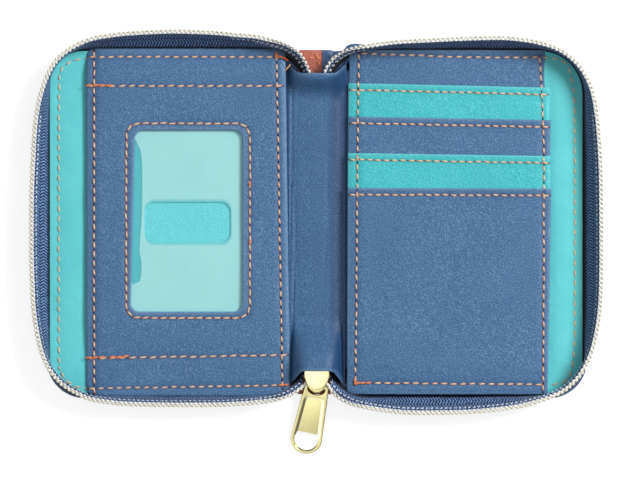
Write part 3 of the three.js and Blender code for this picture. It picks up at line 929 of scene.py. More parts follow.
@dataclass(frozen=True)
class Needle:
    """Sews seams onto a surface: arched stitches, and dark lenses between them painted as the shade in
    the needle holes.
    """

    arch: float = 0.34
    sunk: float = 0.16
    sides: int = 6
    stray: float = 0.05
    twist: float = 2.5
    uneven: float = 0.025
    proud: float = 0.015
    squeeze: float = 0.72
    hole_depth: float = 0.12

    def stitch(self) -> Shape:
        """One stitch of length 2 and width 2: a capsule whose radius fades to its ends."""
        s = np.array([-1, -0.93, -0.72, -0.25, 0.25, 0.72, 0.93, 1])
        radius = np.sqrt(np.clip(1 - np.abs(s) ** 5, 0, 1))[1:-1, None]
        angle = circle(self.sides)[None, :]
        rise = 1 - s**2
        x = np.broadcast_to(s[1:-1, None], (6, self.sides))
        rings = np.stack([x, radius * np.cos(angle), radius * np.sin(angle)], axis=-1)
        turn = np.broadcast_to(angle / FULL_TURN, x.shape)
        shape = tube_of(rings, np.stack([x, turn], axis=-1))
        shape.points[-2:, 0] = (-1, 1)
        shape.values["rise"] = np.concatenate([np.repeat(rise[1:-1], self.sides), [0, 0]])
        return shape

    def lens(self) -> Shape:
        """A flat round lens of radius 1, painted dark as the shade in a needle hole."""
        angle = circle(self.sides)
        rim = np.stack([np.cos(angle), np.sin(angle), 0 * angle], axis=-1)
        return tube_of(np.stack([rim, rim - UP]))

    def row(self, seam: Seam, rng: np.random.Generator) -> tuple[Array, ...]:
        """One seam's stitches and holes seen from above.

        A stitch lies on the line's direction, turned by the seam's slant.

        Args:
            seam: the row.
            rng: what makes the small differences between stitches.

        Returns:
            Middle, half length as a direction, and radius of each stitch, then place,
            direction and radius of each hole.
        """
        line = seam.line()
        count = max(int(round(run_along(line)[-1] / seam.pitch)), 1)
        knots = resampled(line, count + 1)
        way = np.diff(knots, axis=0)
        middle = knots[:-1] + way / 2 + rng.normal(0, self.stray, (count, 2))
        turn = np.radians(seam.slant + rng.normal(0, self.twist, count))
        way = np.stack([way[:, 0] * np.cos(turn) - way[:, 1] * np.sin(turn),
                        way[:, 0] * np.sin(turn) + way[:, 1] * np.cos(turn)], axis=1)
        fill = seam.fill + rng.normal(0, self.uneven, count)
        return (middle, way * fill[:, None] / 2, np.full(count, seam.thread), knots,
                unit(np.vstack([way, way[-1:]])), np.full(count + 1, seam.hole))

    def sewn(self, seams: list[Seam], surface: Height, seed: int) -> tuple[Shape, Shape]:
        """Lays every stitch of some seams on a surface.

        A stitch's middle stands above its ends. A dark lens, painted shade for a needle
        hole, lies on the surface between two stitches.

        Args:
            seams: the rows.
            surface: height of the surface at X and Y.
            seed: what fixes the small differences between stitches.

        Returns:
            The stitches and the holes.
        """
        rng = np.random.default_rng(seed)
        rows = zip(*(self.row(seam, rng) for seam in seams))
        middle, way, width, hole, lean, size = (np.concatenate(part) for part in rows)
        at = np.column_stack([middle, surface(middle[:, 0], middle[:, 1]) - self.sunk])
        tips = [surface(*(middle + way * end).T) for end in (-1, 1)]
        along = np.column_stack([way, (tips[1] - tips[0]) / 2])
        across = unit(np.column_stack([-way[:, 1], way[:, 0], 0 * width])) * width[:, None]
        above = np.tile(UP, (len(width), 1)) * width[:, None]
        base = self.stitch()
        stitches = scattered(base, at, along, across, above)
        stitches.points[:, 2] += np.tile(base.values["rise"], len(width)) * self.arch
        spot = np.column_stack([hole, surface(hole[:, 0], hole[:, 1]) + self.proud])
        flat = np.tile(np.eye(3), (len(hole), 1, 1))
        flat[:, 0, :2], flat[:, 1, :2] = lean, lean[:, ::-1] * (-1, 1)
        size = size[:, None]
        pricks = scattered(self.lens(), spot, flat[:, 0] * size,
                           flat[:, 1] * size * self.squeeze, flat[:, 2] * self.hole_depth)
        return stitches, pricks


# Pieces


@dataclass(frozen=True)
class Wallet:
    """Sizes that several pieces share."""

    reach: float = 88.5
    half: float = 57.7
    corner: float = 12.5
    wide_corner: float = 15.5
    spine_end: float = 56.0
    skin: float = 0.9
    lining_top: float = 2.1

    def corner_at(self, side: Side, end: int) -> float:
        """Radius of a cover's outer corner: the right cover's top one is rounder."""
        return self.wide_corner if side is Side.RIGHT and end > 0 else self.corner

    def ends(self, x: Array, side: Side, end: int) -> Array:
        """Half height of the outer leather: short at the spine, round at the corner.

        Args:
            x: where along the cover.
            side: the left or the right cover.
            end: -1 for its bottom edge and 1 for its top edge.

        Returns:
            The half height at each X.
        """
        distance = np.abs(x)
        corner = self.corner_at(side, end)
        straight = self.spine_end + (self.half - self.spine_end) * fade(8.4, 10.4, distance)
        past = np.clip(distance - (self.reach - corner), 0, corner)
        pucker = 0.75 if side is Side.RIGHT and end > 0 else 0
        pucker = pucker * np.exp(-((distance - 12.6) / 3.6) ** 2)
        return straight - corner + np.sqrt(corner**2 - past**2) + pucker


def column_plan(x: Array, low: Array | float, high: Array | float, step: float,
                roll: float) -> Array:
    """A sheet seen from above, column by column between two edges.

    Args:
        x: X of the columns.
        low: Y of the lower edge, one for all columns or one for each.
        high: Y of the upper edge.
        step: distance between rows.
        roll: width of the rolled edge, where rows lie closer.

    Returns:
        X and Y, as row by column by coordinate.
    """
    low, high = (np.broadcast_to(edge, x.shape) for edge in (low, high))
    tall = float((high - low).max())
    share = ruled(0, tall, step, roll)[:, None] / tall
    y = low[None, :] + (high - low)[None, :] * share
    return np.stack([np.broadcast_to(x[None, :], y.shape), y], axis=-1)


@dataclass
class Sheet:
    """A sheet of leather or cloth with rolled edges, laid out from above."""

    plan: Array
    top: Height
    depth: float
    roll: float = 0.3
    seams: list[Seam] = field(default_factory=list)
    press: float = 0.22
    soft: list[Array] = field(default_factory=list)
    droop: float = 0.6
    soft_width: float = 1.8
    press_through: float = 1.0
    wrap: bool = False
    cut_inner: bool = False
    painted_edge: float = 0.8

    def edges(self) -> list[Array]:
        """The edges that are rolled: all four, or three where the inner one is a cut."""
        plan = self.plan
        if self.wrap:
            return [closed(plan[0]), closed(plan[-1])]
        sides = [plan[0], plan[-1], plan[:, -1], plan[:, 0]]
        near = int(np.argmin([np.abs(side[:, 0]).max() for side in sides[2:]])) + 2
        return [side for k, side in enumerate(sides) if not (self.cut_inner and k == near)]

    def shape(self) -> Shape:
        """The closed sheet, with the values of its seams and edges.

        Its top is the given height less the seams' grooves. Within the roll's width of
        an edge its depth shrinks as a quarter circle, and the whole sheet droops along
        another quarter circle near its soft edges.
        """
        x, y = self.plan[..., 0], self.plan[..., 1]
        inset = np.min([distance_to(edge, x, y) for edge in self.edges()], axis=0)
        within = np.clip(1 - inset / self.roll, 0, 0.98)
        depth = self.depth - 2 * min(self.roll, self.depth / 2) * (1 - np.sqrt(1 - within**2))
        pressed = pressed_by(self.seams, x, y)
        depth = depth - self.press * pressed * (1 - self.press_through)
        top = self.top(x, y) - self.press * pressed
        for edge in self.soft:
            near = np.clip(1 - distance_to(edge, x, y) / self.soft_width, 0, 1)
            top = top - self.droop * (1 - np.sqrt(1 - (0.98 * near) ** 2))
        middle = top - self.depth / 2
        made = thick(np.stack([x, y, middle], axis=-1), depth, self.wrap)
        # The edge value paints a highlight on leather and a dark line on film; the groove value paints
        # shade on leather.
        edge = np.exp(-(inset / self.painted_edge) ** 2)
        made.values = {"pressed": np.tile(pressed.ravel(), 2), "edge": np.tile(edge.ravel(), 2)}
        return made


@dataclass
class Cover:
    """One cover: outer leather with its half of the spine, board and cloth lining."""

    side: Side
    finish: Finishes
    size: Wallet = Wallet()
    outer_edge: float = 87.4
    bulge: float = 0.0
    start: float = 12.8
    margin: float = 1.6
    lining_inset: float = 1.7
    fold: Pair = (7, 11)

    def outer_leather(self) -> None:
        """The outer leather of this half, one sheet from the middle of the spine."""
        size, sign = self.size, self.side.value
        flat = ruled(0, size.reach - size.wide_corner, 1.2)
        turn = np.sin(np.linspace(0, math.pi / 2, 30))[1:]
        x = np.concatenate([flat, size.reach - size.wide_corner * (1 - turn)])
        low, high = (end * size.ends(x, self.side, end) for end in (-1, 1))
        plan = column_plan(x * sign, low, high, 1.6, 0.4)
        sheet = Sheet(plan, flat_at(size.skin), depth=size.skin - 0.02, roll=0.42,
                      seams=self.hem_seams(), press=0.2, press_through=0, cut_inner=True)
        nodes = [f"{self.side.word}_cover_skin"]
        if self.side is Side.LEFT:
            nodes.append("spine_skin")
        # Painted shade: the outer leather takes the darker copy of the blue leather.
        piece(f"{self.side.word}_outer_leather", sheet.shape(), self.finish.shaded_blue,
              self.side.body, tuple(nodes), self.fold)

    def hem_seams(self) -> list[Seam]:
        """The stitches beside the spine where the outer leather is turned in."""
        sign = self.side.value
        return [Seam(((sign * 3.4, 53.9), (sign * 8, 54.2), (sign * 15, 55.3)), curved=True)]

    def height(self, x: Array, y: Array) -> Array:
        """Height of the lining: its bed, a long swell by the zip and slow waves."""
        distance = np.abs(x)
        swell = fade(74, 79, distance) * (1 - fade(80.5, 87, distance))
        swell = swell * (1 - fade(44, 54, np.abs(y)))
        wave = 0.06 * np.sin(y / 7.3 + x / 11) + 0.05 * np.sin(y / 3.1 - x / 5)
        wave = wave * (1 - fade(84.5, 86.5, distance))
        return self.size.lining_top + self.bulge * swell + wave

    def lining_seam(self) -> Seam:
        """The stitches round the lining's free edges."""
        if self.side is Side.LEFT:
            path = ((-73.5, 53.9), (-77.5, 53.3), (-80.4, 52.65), (-83.2, 50.7), (-84.2, 48.6),
                    (-84.45, 44), (-84.6, 0), (-84.5, -44), (-84.3, -47.5), (-83.3, -50.6),
                    (-80.8, -52.9), (-78, -54.2), (-73.5, -54.7))
        else:
            path = ((73, 54), (77.2, 53.6), (80, 53), (81.9, 51.6), (83, 48.9),
                    (83.7, 44.5), (84.25, 38), (84.3, 0), (84.3, -36), (83.9, -44),
                    (83.2, -49.6), (82, -51.8), (79.6, -52.9), (75, -53.4), (73, -53.5))
        return Seam(path, pitch=3.3, thread=0.25, fill=0.74, hole=0.15, curved=True)

    def lining(self) -> None:
        """The cloth lining, round at its outer corners, sewn near its edge."""
        size, sign = self.size, self.side.value
        widest = size.wide_corner - self.margin
        inner, outer, half = self.start, self.outer_edge, size.half - self.lining_inset
        flat = ruled(inner, outer - widest, 1.1, 0.2)
        turn = np.sin(np.linspace(0, math.pi / 2, 22))[1:]
        x = np.concatenate([flat[:-1], outer - widest + widest * np.concatenate([[0], turn])])
        edges, missing = [], 0
        for end in (-1, 1):
            radius = size.corner_at(self.side, end) - self.margin
            past = np.clip(x - (outer - radius), 0, radius)
            edges.append(end * (half - radius + np.sqrt(radius**2 - past**2)))
            missing += (1 - math.pi / 4) * radius**2
        plan = column_plan(x * sign, *edges, 0.9, 0.25)
        sheet = Sheet(plan, self.height, depth=0.38, roll=0.18, seams=[self.lining_seam()], press=0.12)
        made = piece(f"{self.side.word}_cloth_lining", sheet.shape(), self.finish.cloth,
                     self.side.body, (f"{self.side.word}_lining",))
        f"{self.side.word}_board"

    def sew(self) -> None:
        """The orange stitches of the lining and of the turned hem."""
        rows = [
            ("lining", [self.lining_seam()], lambda x, y: self.height(x, y) - 0.1, 31),
            ("hem", self.hem_seams(), flat_at(self.size.skin), 32),
        ]
        for label, seams, surface, seed in rows:
            stitches, holes = Needle().sewn(seams, surface, SEED + seed)
            thread = self.finish.peach if label == "lining" else self.finish.orange
            for part, shape, material in (("stitches", stitches, thread),
                                          ("painted_hole_shades", holes, self.finish.hole)):
                piece(f"{self.side.word}_{label}_{part}", shape, material, self.side.body,
                      fold=self.fold if label == "hem" else None)

    def stiffener(self) -> None:
        """The frame's own board keeps its shape and gets a finish."""
        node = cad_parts[f"{self.side.word}_board"]
        node.data.materials.clear()
        node.data.materials.append(self.finish.board)
        LOG.info("%s: its finish", node.name)

    def build(self) -> None:
        """Makes every piece of the cover."""
        self.outer_leather()
        self.lining()
        self.sew()
        self.stiffener()


@dataclass
class ZipHalf:
    """One half of the zip: its sewn-in tape and the nylon coil along the tape's edge.

    The line's places are X away from the spine, and Y.
    """

    side: Side
    finish: Finishes
    size: Wallet = Wallet()
    lines: dict[Side, tuple[Pair, ...]] = field(default_factory=lambda: {
        Side.LEFT: (
            (2.95, 49.6), (4.3, 52.6), (6.2, 55.3), (9, 57.2), (12.1, 58.4), (15.4, 59.35),
            (20.4, 60.5), (26.5, 61), (34, 61.7), (47, 62.1), (61, 61.5), (67.8, 60.7),
            (72.7, 59.9), (76.9, 58.4), (80.5, 56.4), (83.8, 53.9), (86.3, 50.7), (88.3, 46.8),
            (89.9, 42.3), (91.1, 37.2), (91.9, 31.2), (92.4, 23.6), (93, 10), (93.1, -10),
            (92.8, -20.6), (92.4, -28.4), (91.6, -34.4), (90.5, -39.9), (89.2, -44.1),
            (87.1, -48.3), (84.9, -51.1), (82, -53.7), (76.8, -56.6), (73, -57.9),
            (68.1, -58.7), (62, -59.3), (49.5, -59.6), (34, -59.6), (26.5, -59.3),
            (20, -58.8), (14.2, -58), (10.5, -56.95), (7.85, -55.75), (5.6, -54.45),
            (4, -53.1)),
        Side.RIGHT: (
            (2.95, 49.6), (3.9, 51.3), (5.2, 53), (6.9, 54.3), (8.9, 55.45), (11.1, 56.25),
            (14.1, 56.95), (17.4, 57.5), (22, 58.2), (26.5, 58.7), (34, 59.1), (47, 59.7),
            (57, 60), (62.5, 59.9), (67.9, 59.3), (72.9, 58.3), (77.4, 56.9), (81.2, 54.8),
            (84.5, 52), (87.1, 48.6), (89.2, 44.4), (90.5, 39.9), (91.3, 34.6), (91.9, 28.6),
            (92.4, 21), (92.7, 10.8), (92.8, -10), (92.6, -23), (92, -31),
            (91, -36.9), (89.7, -41.9), (88, -46), (85.7, -49.9), (82.9, -53),
            (79.9, -55.3), (76.2, -57), (72.2, -58.4), (67.8, -59.6), (62, -60.7),
            (49.5, -61.9), (34, -62.2), (26.5, -61.9), (20.7, -61.2), (16.5, -60.5),
            (13, -59.75), (9.8, -58.6), (7.2, -57.2), (5.3, -55.6), (4.1, -54.1)),
    })
    rise: float = 9.0
    pitch: float = 1.52
    coil_wide: float = 0.41
    coil_crown: float = -0.3
    coil_leg: float = 1.9
    coil_lift: float = 0.95
    wire: float = 0.18
    head: float = 0.22
    head_long: float = 0.37
    tape: float = 0.5
    bed: float = 1.28
    gap: float = 0.74
    tuck: float = 3.3
    foot_reach: float = 87.5
    foot_half: float = 56.7
    fold: Pair = (7.2, 12.2)
    steps: int = 16
    sides: int = 7
    linger: float = 0.26
    flat_half: float = 0.42
    cord: float = 0.5

    def coil_line(self) -> Array:
        """The coil's line in space, from under the spine lining round into the slider."""
        plan = np.array(self.lines[self.side])
        top = plan[:, 1] > 0
        stop = np.where(top, 2.9, 4)
        low = np.where(top, 5.2, 6.4)
        rise = low + (self.rise - low) * fade(0, 1, (plan[:, 0] - stop) / (12.2 - stop))
        line = np.column_stack([plan, rise])
        start = [[2.7, 46.2, 5.2], [2.7, 47.8, 5.2]]
        finish = [[2.75, -51.9, 6.4], [2.2, -50.3, 6.4], [2.2, -48.6, 6.4], [2.2, -46.4, 6.4]]
        return curve_through(np.vstack([start, line, finish]), 1400)

    def coil(self) -> None:
        """The nylon coil: one wire wound round a cord, a turn for each tooth.

        Seen along the zip the wire's middle runs round an oval that is low above and deep
        below its widest place. It stays long at its outer and inner sides, where the wire
        swells to a bead, and crosses over quickly. In the slider the oval lies flat.
        """
        line = self.coil_line()
        length = run_along(line)[-1]
        turns = length / self.pitch
        count = int(turns * self.steps)
        fine = resampled(line, count)
        tangent = unit(np.gradient(fine, axis=0))
        across = unit(np.cross(tangent, UP))
        from_middle = fine[:, :2] - (self.foot_reach / 2, 0)
        across = across * np.sign((across[:, :2] * from_middle).sum(axis=1).mean())
        above = UP - tangent * tangent[:, 2:]
        angle = np.linspace(0, turns * FULL_TURN, count)
        angle = angle - self.linger * np.sin(2 * angle)
        flat = fade(length - 13, length - 8, np.linspace(0, length, count))[:, None]
        free = (1 - fade(10, 17, fine[:, 0]))[:, None] * (1 - flat)
        fine = fine + UP * self.coil_lift * (1 - flat)
        turned, raised = np.cos(angle)[:, None], np.sin(angle)[:, None]
        leg = self.coil_leg + (self.flat_half - self.coil_leg) * flat
        crown = self.coil_crown + (self.flat_half - self.coil_crown) * flat
        out = (turned * across * self.coil_wide * (1 - 0.4 * free)
               + raised * above * np.where(raised > 0, crown, leg))
        wire = fine + out
        way = unit(np.gradient(wire, axis=0))
        first = unit(out - (out * way).sum(axis=1, keepdims=True) * way)
        swell = np.where(turned > 0, 1 + 0.5 * free, 1 - 0.9 * free)
        wide = self.wire + self.head * turned**6 * swell
        long = self.wire + self.head_long * turned**4 * swell * (1 - flat)
        winding = tube_of(wire_round(wire, first * wide, np.cross(way, first) * long, self.sides))
        side = np.repeat(fade(0.7, 1, turned[:, 0]) * (1 - 0.8 * free[:, 0]), self.sides)
        winding.values = {"outer": np.append(side, [0, 0]), "bare": np.zeros(len(side) + 2)}
        across, above, free, flat = (part[::8] for part in (across, above, free, flat))
        core = fine[::8] - UP * (self.cord + 0.3 * free) * (1 - flat)
        cord = tube_of(wire_round(core, across * self.cord, above * self.cord, self.sides))
        bare = np.append(np.repeat(0.12 + 0.88 * free[:, 0], self.sides), [1, 0.12])
        cord.values = {"outer": np.full(len(cord.points), 0.1), "bare": bare}
        self.finished("zip_coil", joined([winding, cord]), self.finish.coil, 180, "teeth")

    def finished(self, name: str, shape: Shape, material: Material, sharp: float,
                 what: str = "") -> None:
        """Turns a shape made for the right over to its side, and makes it a piece with the zip's fold.

        Args:
            name: the piece's name without its side.
            shape: the shape.
            material: its finish.
            sharp: the angle past which its edges stay sharp.
            what: the teeth or tape that it stands for in the frame.
        """
        shape.points[:, 0] *= self.side.value
        word = self.side.word
        parts = ("zip", "top_end", "bottom_end") if what else ()
        nodes = tuple(f"{word}_{part}_{what}" for part in parts)
        piece(f"{word}_{name}", shape.outward(), material, self.side.body, nodes,
              self.fold, sharp)

    def foot_line(self) -> Array:
        """The line on the cover where the tape is sewn, from the spine's top to its bottom."""
        arcs = []
        for end in (1, -1):
            corner = self.size.corner_at(self.side, end) - 1
            centre = (self.foot_reach - corner, end * (self.foot_half - corner))
            arcs.append(arc(centre, (corner, end * corner), 90, 0, 24))
        neck = curve_through([[4, 45.8], [4.4, 48.6], [6, 51], [8.4, 53.4], [11, 55.2],
                              [15, 56.4], [21, 56.7]], 30)
        return np.vstack([neck, arcs[0], arcs[1][::-1], (neck * (1, -1))[::-1]])

    def tape_line(self, count: int) -> tuple[Array, Array]:
        """Matching places on the tape's foot and beside the coil.

        Both lines are cut where X passes the neck's end and each part is spaced evenly,
        so that a station joins places that belong together. The left tape ends a little
        earlier, which leaves room for the slider's travel.

        Args:
            count: stations round the cover.

        Returns:
            The foot in plan and the coil's line in space.
        """
        coil, foot = self.coil_line(), self.foot_line()
        ends = 26
        parts = []
        for line in (foot, coil):
            inside = np.nonzero(line[:, 0] >= 14)[0]
            first, last = inside[0], inside[-1]
            mouth = 4 if self.side is Side.LEFT else 3.6
            stop = len(line) if line is foot else int(np.argmax(
                (line[:, 1] < -52.6) & (line[:, 0] < mouth))) or len(line)
            parts.append(np.vstack([resampled(line[:first + 1], ends)[:-1],
                                    resampled(line[first:last + 1], count)[:-1],
                                    resampled(line[last:stop], ends)]))
        return parts[0], parts[1]

    def woven_tape(self) -> None:
        """The tape: flat under the lining, then up in a curve to the coil's inner side.

        Across the tape the place is a cubic Bezier curve from the foot to the rim. The left
        rows of white stitches end three stations before the tape, clear of the slider.
        """
        foot, coil = self.tape_line(230)
        level = np.column_stack([foot, np.full(len(foot), self.bed)])
        out, coil_out = (-unit(np.cross(np.gradient(line, axis=0), UP)) for line in (level, coil))
        near_spine = (1 - fade(10, 22, foot[:, 0]))[:, None]
        rim = coil - coil_out * (self.gap - 0.16 * near_spine) - UP * 0.1
        seam = level - out * (self.tuck - 2.5 * near_spine)
        waves = 0.12 * np.sin(run_along(coil) / 3.7)[:, None] * coil_out
        reach = np.linalg.norm(rim[:, :2] - foot, axis=1)[:, None]
        second = level + out * (0.22 * reach) + UP * 0.9 + waves
        top = (fade(42, 54, coil[:, 1]) * fade(20, 32, coil[:, 0]))[:, None]
        lean = (0.28 - 0.22 * top) * reach
        third = rim - coil_out * lean - UP * (3.2 - 1.8 * near_spine) + waves
        t = np.linspace(0, 1, 17)[None, 1:, None]
        wall = ((1 - t) ** 3 * level[:, None] + 3 * (1 - t) ** 2 * t * second[:, None]
                + 3 * (1 - t) * t**2 * third[:, None] + t**3 * rim[:, None])
        flat = seam[:, None] + (level - seam)[:, None] * np.array([0, 0.5, 1])[None, :, None]
        middle = np.concatenate([flat, wall], axis=1)
        across = run_across(middle)
        along = np.broadcast_to(run_along(coil)[:, None], across.shape)
        depth = np.full(across.shape, self.tape)
        depth[:, [0, -1]] *= 0.4
        shape = thick(middle, depth, uv=np.stack([along, across], axis=-1))
        self.finished("woven_tape", shape, self.finish.tape, 80, "tape")
        left = self.side is Side.LEFT
        neck = int(np.argmax(coil[:, 0] > (20 if left else 11)))
        near = int(np.argmax(coil[:, 0] > (28 if left else 16)))
        far = near + int(np.argmax(coil[near:, 1] < 35))
        last = len(middle) - (3 if left else 0)
        rows = ((0, near, 0.9), (far, last, 0.9), (0, neck, 2.1))
        shape = joined([self.rim_row(middle[start:stop], coil_out[start:stop], down)
                        for start, stop, down in rows])
        self.finished("coil_stitches", shape, self.finish.white, 50)

    def rim_row(self, middle: Array, coil_out: Array, down: float) -> Shape:
        """A row of white stitches on the tape, one for each turn of the coil.

        Args:
            middle: the tape's surface, its last column being the rim.
            coil_out: direction away from the cover at each station.
            down: distance of the row below the rim.

        Returns:
            The stitches as one shape.
        """
        wall = middle[:, ::-1]
        below = run_across(wall)
        after = np.clip((below < down).sum(axis=1), 1, wall.shape[1] - 1)
        station = np.arange(len(wall))
        high, low = wall[station, after - 1], wall[station, after]
        start, stop = below[station, after - 1], below[station, after]
        line = high + (low - high) * ((down - start) / (stop - start))[:, None]
        normal = unit(np.cross(np.gradient(line, axis=0), high - low))
        facing = (normal * -coil_out).sum(axis=1, keepdims=True) + normal[:, 2:]
        normal = np.where(facing < 0, -normal, normal)
        line = line + normal * (self.tape * 0.5 + 0.1)
        count = int(run_along(line)[-1] / self.pitch)
        place, lift = resampled(line, count), resampled(normal, count)
        way = unit(np.gradient(place, axis=0))
        across = unit(np.cross(lift, way))
        along = unit(way + 0.2 * across) * 0.48
        return scattered(Needle().stitch(), place, along, across * 0.27, unit(lift) * 0.2)

    def build(self) -> None:
        """Makes the tape, its stitches and the coil."""
        self.woven_tape()
        self.coil()


@dataclass
class CardWindow:
    """The left cover's card window: leather panel, clear film and pocket back."""

    finish: Finishes
    top: float = 4.7
    depth: float = 1.15
    end_drop: float = 1.05
    inner: Pair = (-10.46, -8.95)
    outer: float = -75.3
    upper: float = 56.6
    lower: float = -56.85
    window: tuple[float, float, float, float] = (-60.2, -24.4, -29.3, 30)
    window_corner: float = 2.9
    film_top: float = 3.42
    film_margin: float = 4.1
    pocket_margin: float = 12.0
    groove: float = 0.2
    knot_lift: float = 0.16

    def outline(self, box: tuple[float, float, float, float], radius: float) -> Array:
        """A rectangle with round corners, the same count of points on each matching part.

        Args:
            box: its left, right, low and high edges.
            radius: radius of the corners.

        Returns:
            The loop of points, from the lower right corner round.
        """
        left, right, low, high = box
        centres = [(right - radius, low + radius, -90), (right - radius, high - radius, 0),
                   (left + radius, high - radius, 90), (left + radius, low + radius, 180)]
        parts = [arc((x, y), (radius, radius), start, start + 90, 12) for x, y, start in centres]
        loop = []
        counts = (150, 84, 150, 84)
        for k, part in enumerate(parts):
            after = parts[(k + 1) % 4][0]
            share = np.linspace(0, 1, counts[k] + 2)[1:-1, None]
            loop += [part, part[-1] * (1 - share) + after * share]
        return np.vstack(loop)

    def rings(self, start: Array, stop: Array, count: int, roll: float) -> Array:
        """Loops of points from one outline to another, closer together at both."""
        share = ruled(0, 1, 1 / count, roll)[:, None, None]
        return start[None] * (1 - share) + stop[None] * share

    def height(self, x: Array, y: Array) -> Array:
        """Height of the panel: level, low at its sewn ends, with slow waves."""
        drop = self.end_drop * np.where(y < 0, fade(29, 56.5, -y), fade(48, 55.8, y))
        wave = 0.10 * np.sin(x / 9 + 0.6) * np.cos(y / 17) + 0.05 * np.sin(y / 6)
        edge = 0.25 * fade(-14, -10, x) + 0.6 * fade(-70, -75.3, x)
        return self.top - drop + wave * (1 - fade(44, 54, np.abs(y))) - edge

    def seams(self) -> list[Seam]:
        """The panel's rows of stitches."""
        left, right, low, high = self.window
        ring = closed(self.outline((left - 2.15, right + 2.45, low - 2.1, high + 2.2), 3.3))
        return [
            Seam(((-75, 53.96), (-60, 54.05), (-11, 53.96)), fill=0.76, hole=0.25),
            Seam(((-75.2, -54.5), (-41.5, -53.96), (-9.6, -53.35)), fill=0.76, hole=0.25),
            Seam(((-72.9, 56.2), (-72.9, -56.4)), pitch=3, fill=0.8, hole=0.4),
            Seam(((-13.25, 55.2), (-12.3, 0), (-11.3, -54.6)), pitch=2.95, fill=0.74,
                 hole=0.46),
            Seam(((-75, 44.5), (-11, 44.5)), pitch=3.27, slant=9, hole=0.3),
            Seam(((-75, -44.6), (-9.4, -43.5)), pitch=3.27, slant=9, hole=0.3),
            Seam(tuple(map(tuple, ring)), pitch=2.95, fill=0.95, hole=0.32),
        ]

    def row_ends(self) -> list[Seam]:
        """Short runs sewn twice, where a row begins or ends."""
        return doubled(
            ((-75.6, 44.75), (-67, 44.6), 2.4, 1.15, 0.36),
            ((-75.9, -44.5), (-69.5, -44.2), 2.5, 1.1, 0.33),
            ((-68, -44.3), (-61.5, -43.9), 2.3, 1.1, 0.36),
            ((-13.9, 54.2), (-12.7, 54.3), 1.2, 1.3, 0.6),
            ((-13.2, 56), (-13.3, 53.6), 2.4, 1, 0.42),
            ((-21.9, 12.9), (-21.9, 11.9), 1, 1.1, 0.5),
            ((-21.6, -5.8), (-22.1, -7.3), 1.5, 1.1, 0.42),
            ((-12.6, -53.5), (-9.3, -53.2), 1.7, 1.2, 0.38))

    def panel(self) -> None:
        """The leather panel with its window."""
        opening = self.outline(self.window, self.window_corner)
        near_left = (self.window[1] - opening[:, 0]) / (self.window[1] - self.window[0])
        opening[:, 0] += near_left * opening[:, 1] * 0.024
        edge = self.outline((self.outer, -10, self.lower, self.upper), 2.4)
        share = (edge[:, 1] - self.lower) / (self.upper - self.lower)
        slant = self.inner[1] + (self.inner[0] - self.inner[1]) * share
        edge[:, 0] = self.outer + (edge[:, 0] - self.outer) * (slant - self.outer) / (
            -10 - self.outer)
        plan = self.rings(opening, edge, 26, 0.04)
        sheet = Sheet(plan, self.height, self.depth, roll=0.5, seams=self.seams(), press=0.3,
                      soft=[closed(edge)], droop=0.75, soft_width=1.9, wrap=True)
        piece("card_window_panel", sheet.shape(), self.finish.blue, Body.LEFT, ("id_panel",))

    def clear_film(self) -> None:
        """The clear film behind the window, with a slot for the thumb."""
        left, right, low, high = self.window
        rim = self.film_margin
        edge = self.outline((left - rim, right + rim, low - rim, high + rim), 2.4)
        slot = self.outline((-56.2, -28.2, -6.7, 6.5), 3.4)
        plan = self.rings(slot, edge, 22, 0)
        sheet = Sheet(plan, flat_at(self.film_top), depth=0.18, roll=0.09, painted_edge=0.22, wrap=True)
        piece("window_film", sheet.shape(), self.finish.film, Body.LEFT, ("id_window_film",))

    def pocket_back(self) -> None:
        """The teal pocket back that shows through the film."""
        left, right, low, high = self.window
        beyond = self.pocket_margin
        x = ruled(left - beyond, right + beyond, 1.4, 0.1)
        plan = column_plan(x, low - beyond, high + beyond, 1.4, 0.1)
        sheet = Sheet(plan, lambda x, y: 2.86 + 0.05 * np.sin(x / 6 + y / 9), depth=0.28, roll=0.12)
        piece("window_pocket_back", sheet.shape(), self.finish.pocket, Body.LEFT,
              ("id_pocket_back",))

    def sew(self) -> None:
        """The orange stitches, the painted shade of their holes, and the loose thread ends at the top
        corner.
        """
        stitches, holes = Needle().sewn(
            self.seams(), lambda x, y: self.height(x, y) - self.groove, SEED)
        knots, _ = Needle().sewn(
            self.row_ends(), lambda x, y: self.height(x, y) - self.groove + self.knot_lift,
            SEED + 1)
        tails = [
            curve_through([[-13.3, 54.3, 4.4], [-12, 54.1, 4.8], [-10.6, 53.5, 4.2],
                           [-9.4, 52.8, 3.7]], 24),
            curve_through([[-8.8, 51.5, 3], [-9.3, 50.8, 3.7], [-10, 50, 4], [-10.2, 49.6, 3.8]], 24),
        ]
        knots = joined([knots, self.tail(tails[0])])
        piece("panel_loose_end", self.tail(tails[1]), self.finish.peach, Body.LEFT)
        piece("panel_stitches", stitches, self.finish.orange, Body.LEFT)
        piece("panel_knots", knots, self.finish.knot, Body.LEFT)
        piece("panel_needle_holes", holes, self.finish.hole, Body.LEFT)

    def tail(self, line: Array) -> Shape:
        """A thin round thread along a line."""
        way = unit(np.gradient(line, axis=0))
        first = unit(np.cross(way, UP))
        second = np.cross(first, way)
        radius, sides = 0.27, 6
        rings = wire_round(line, first * radius, second * radius, sides)
        uv = np.broadcast_arrays(run_along(line)[:, None], circle(sides)[None] / FULL_TURN)
        return tube_of(rings, np.stack(uv, axis=-1))

    def build(self) -> None:
        """Makes every piece of the card window."""
        self.panel()
        self.clear_film()
        self.pocket_back()
        self.sew()


@dataclass(frozen=True)
class Leaf:
    """One leaf of the card slots: its lip's ends, its foot and its level."""

    name: str
    node: str
    lip: tuple[Pair, Pair]
    top: float
    foot: Pair = (9.8, 75.3)
    teal: bool = False
    lipped: bool = True


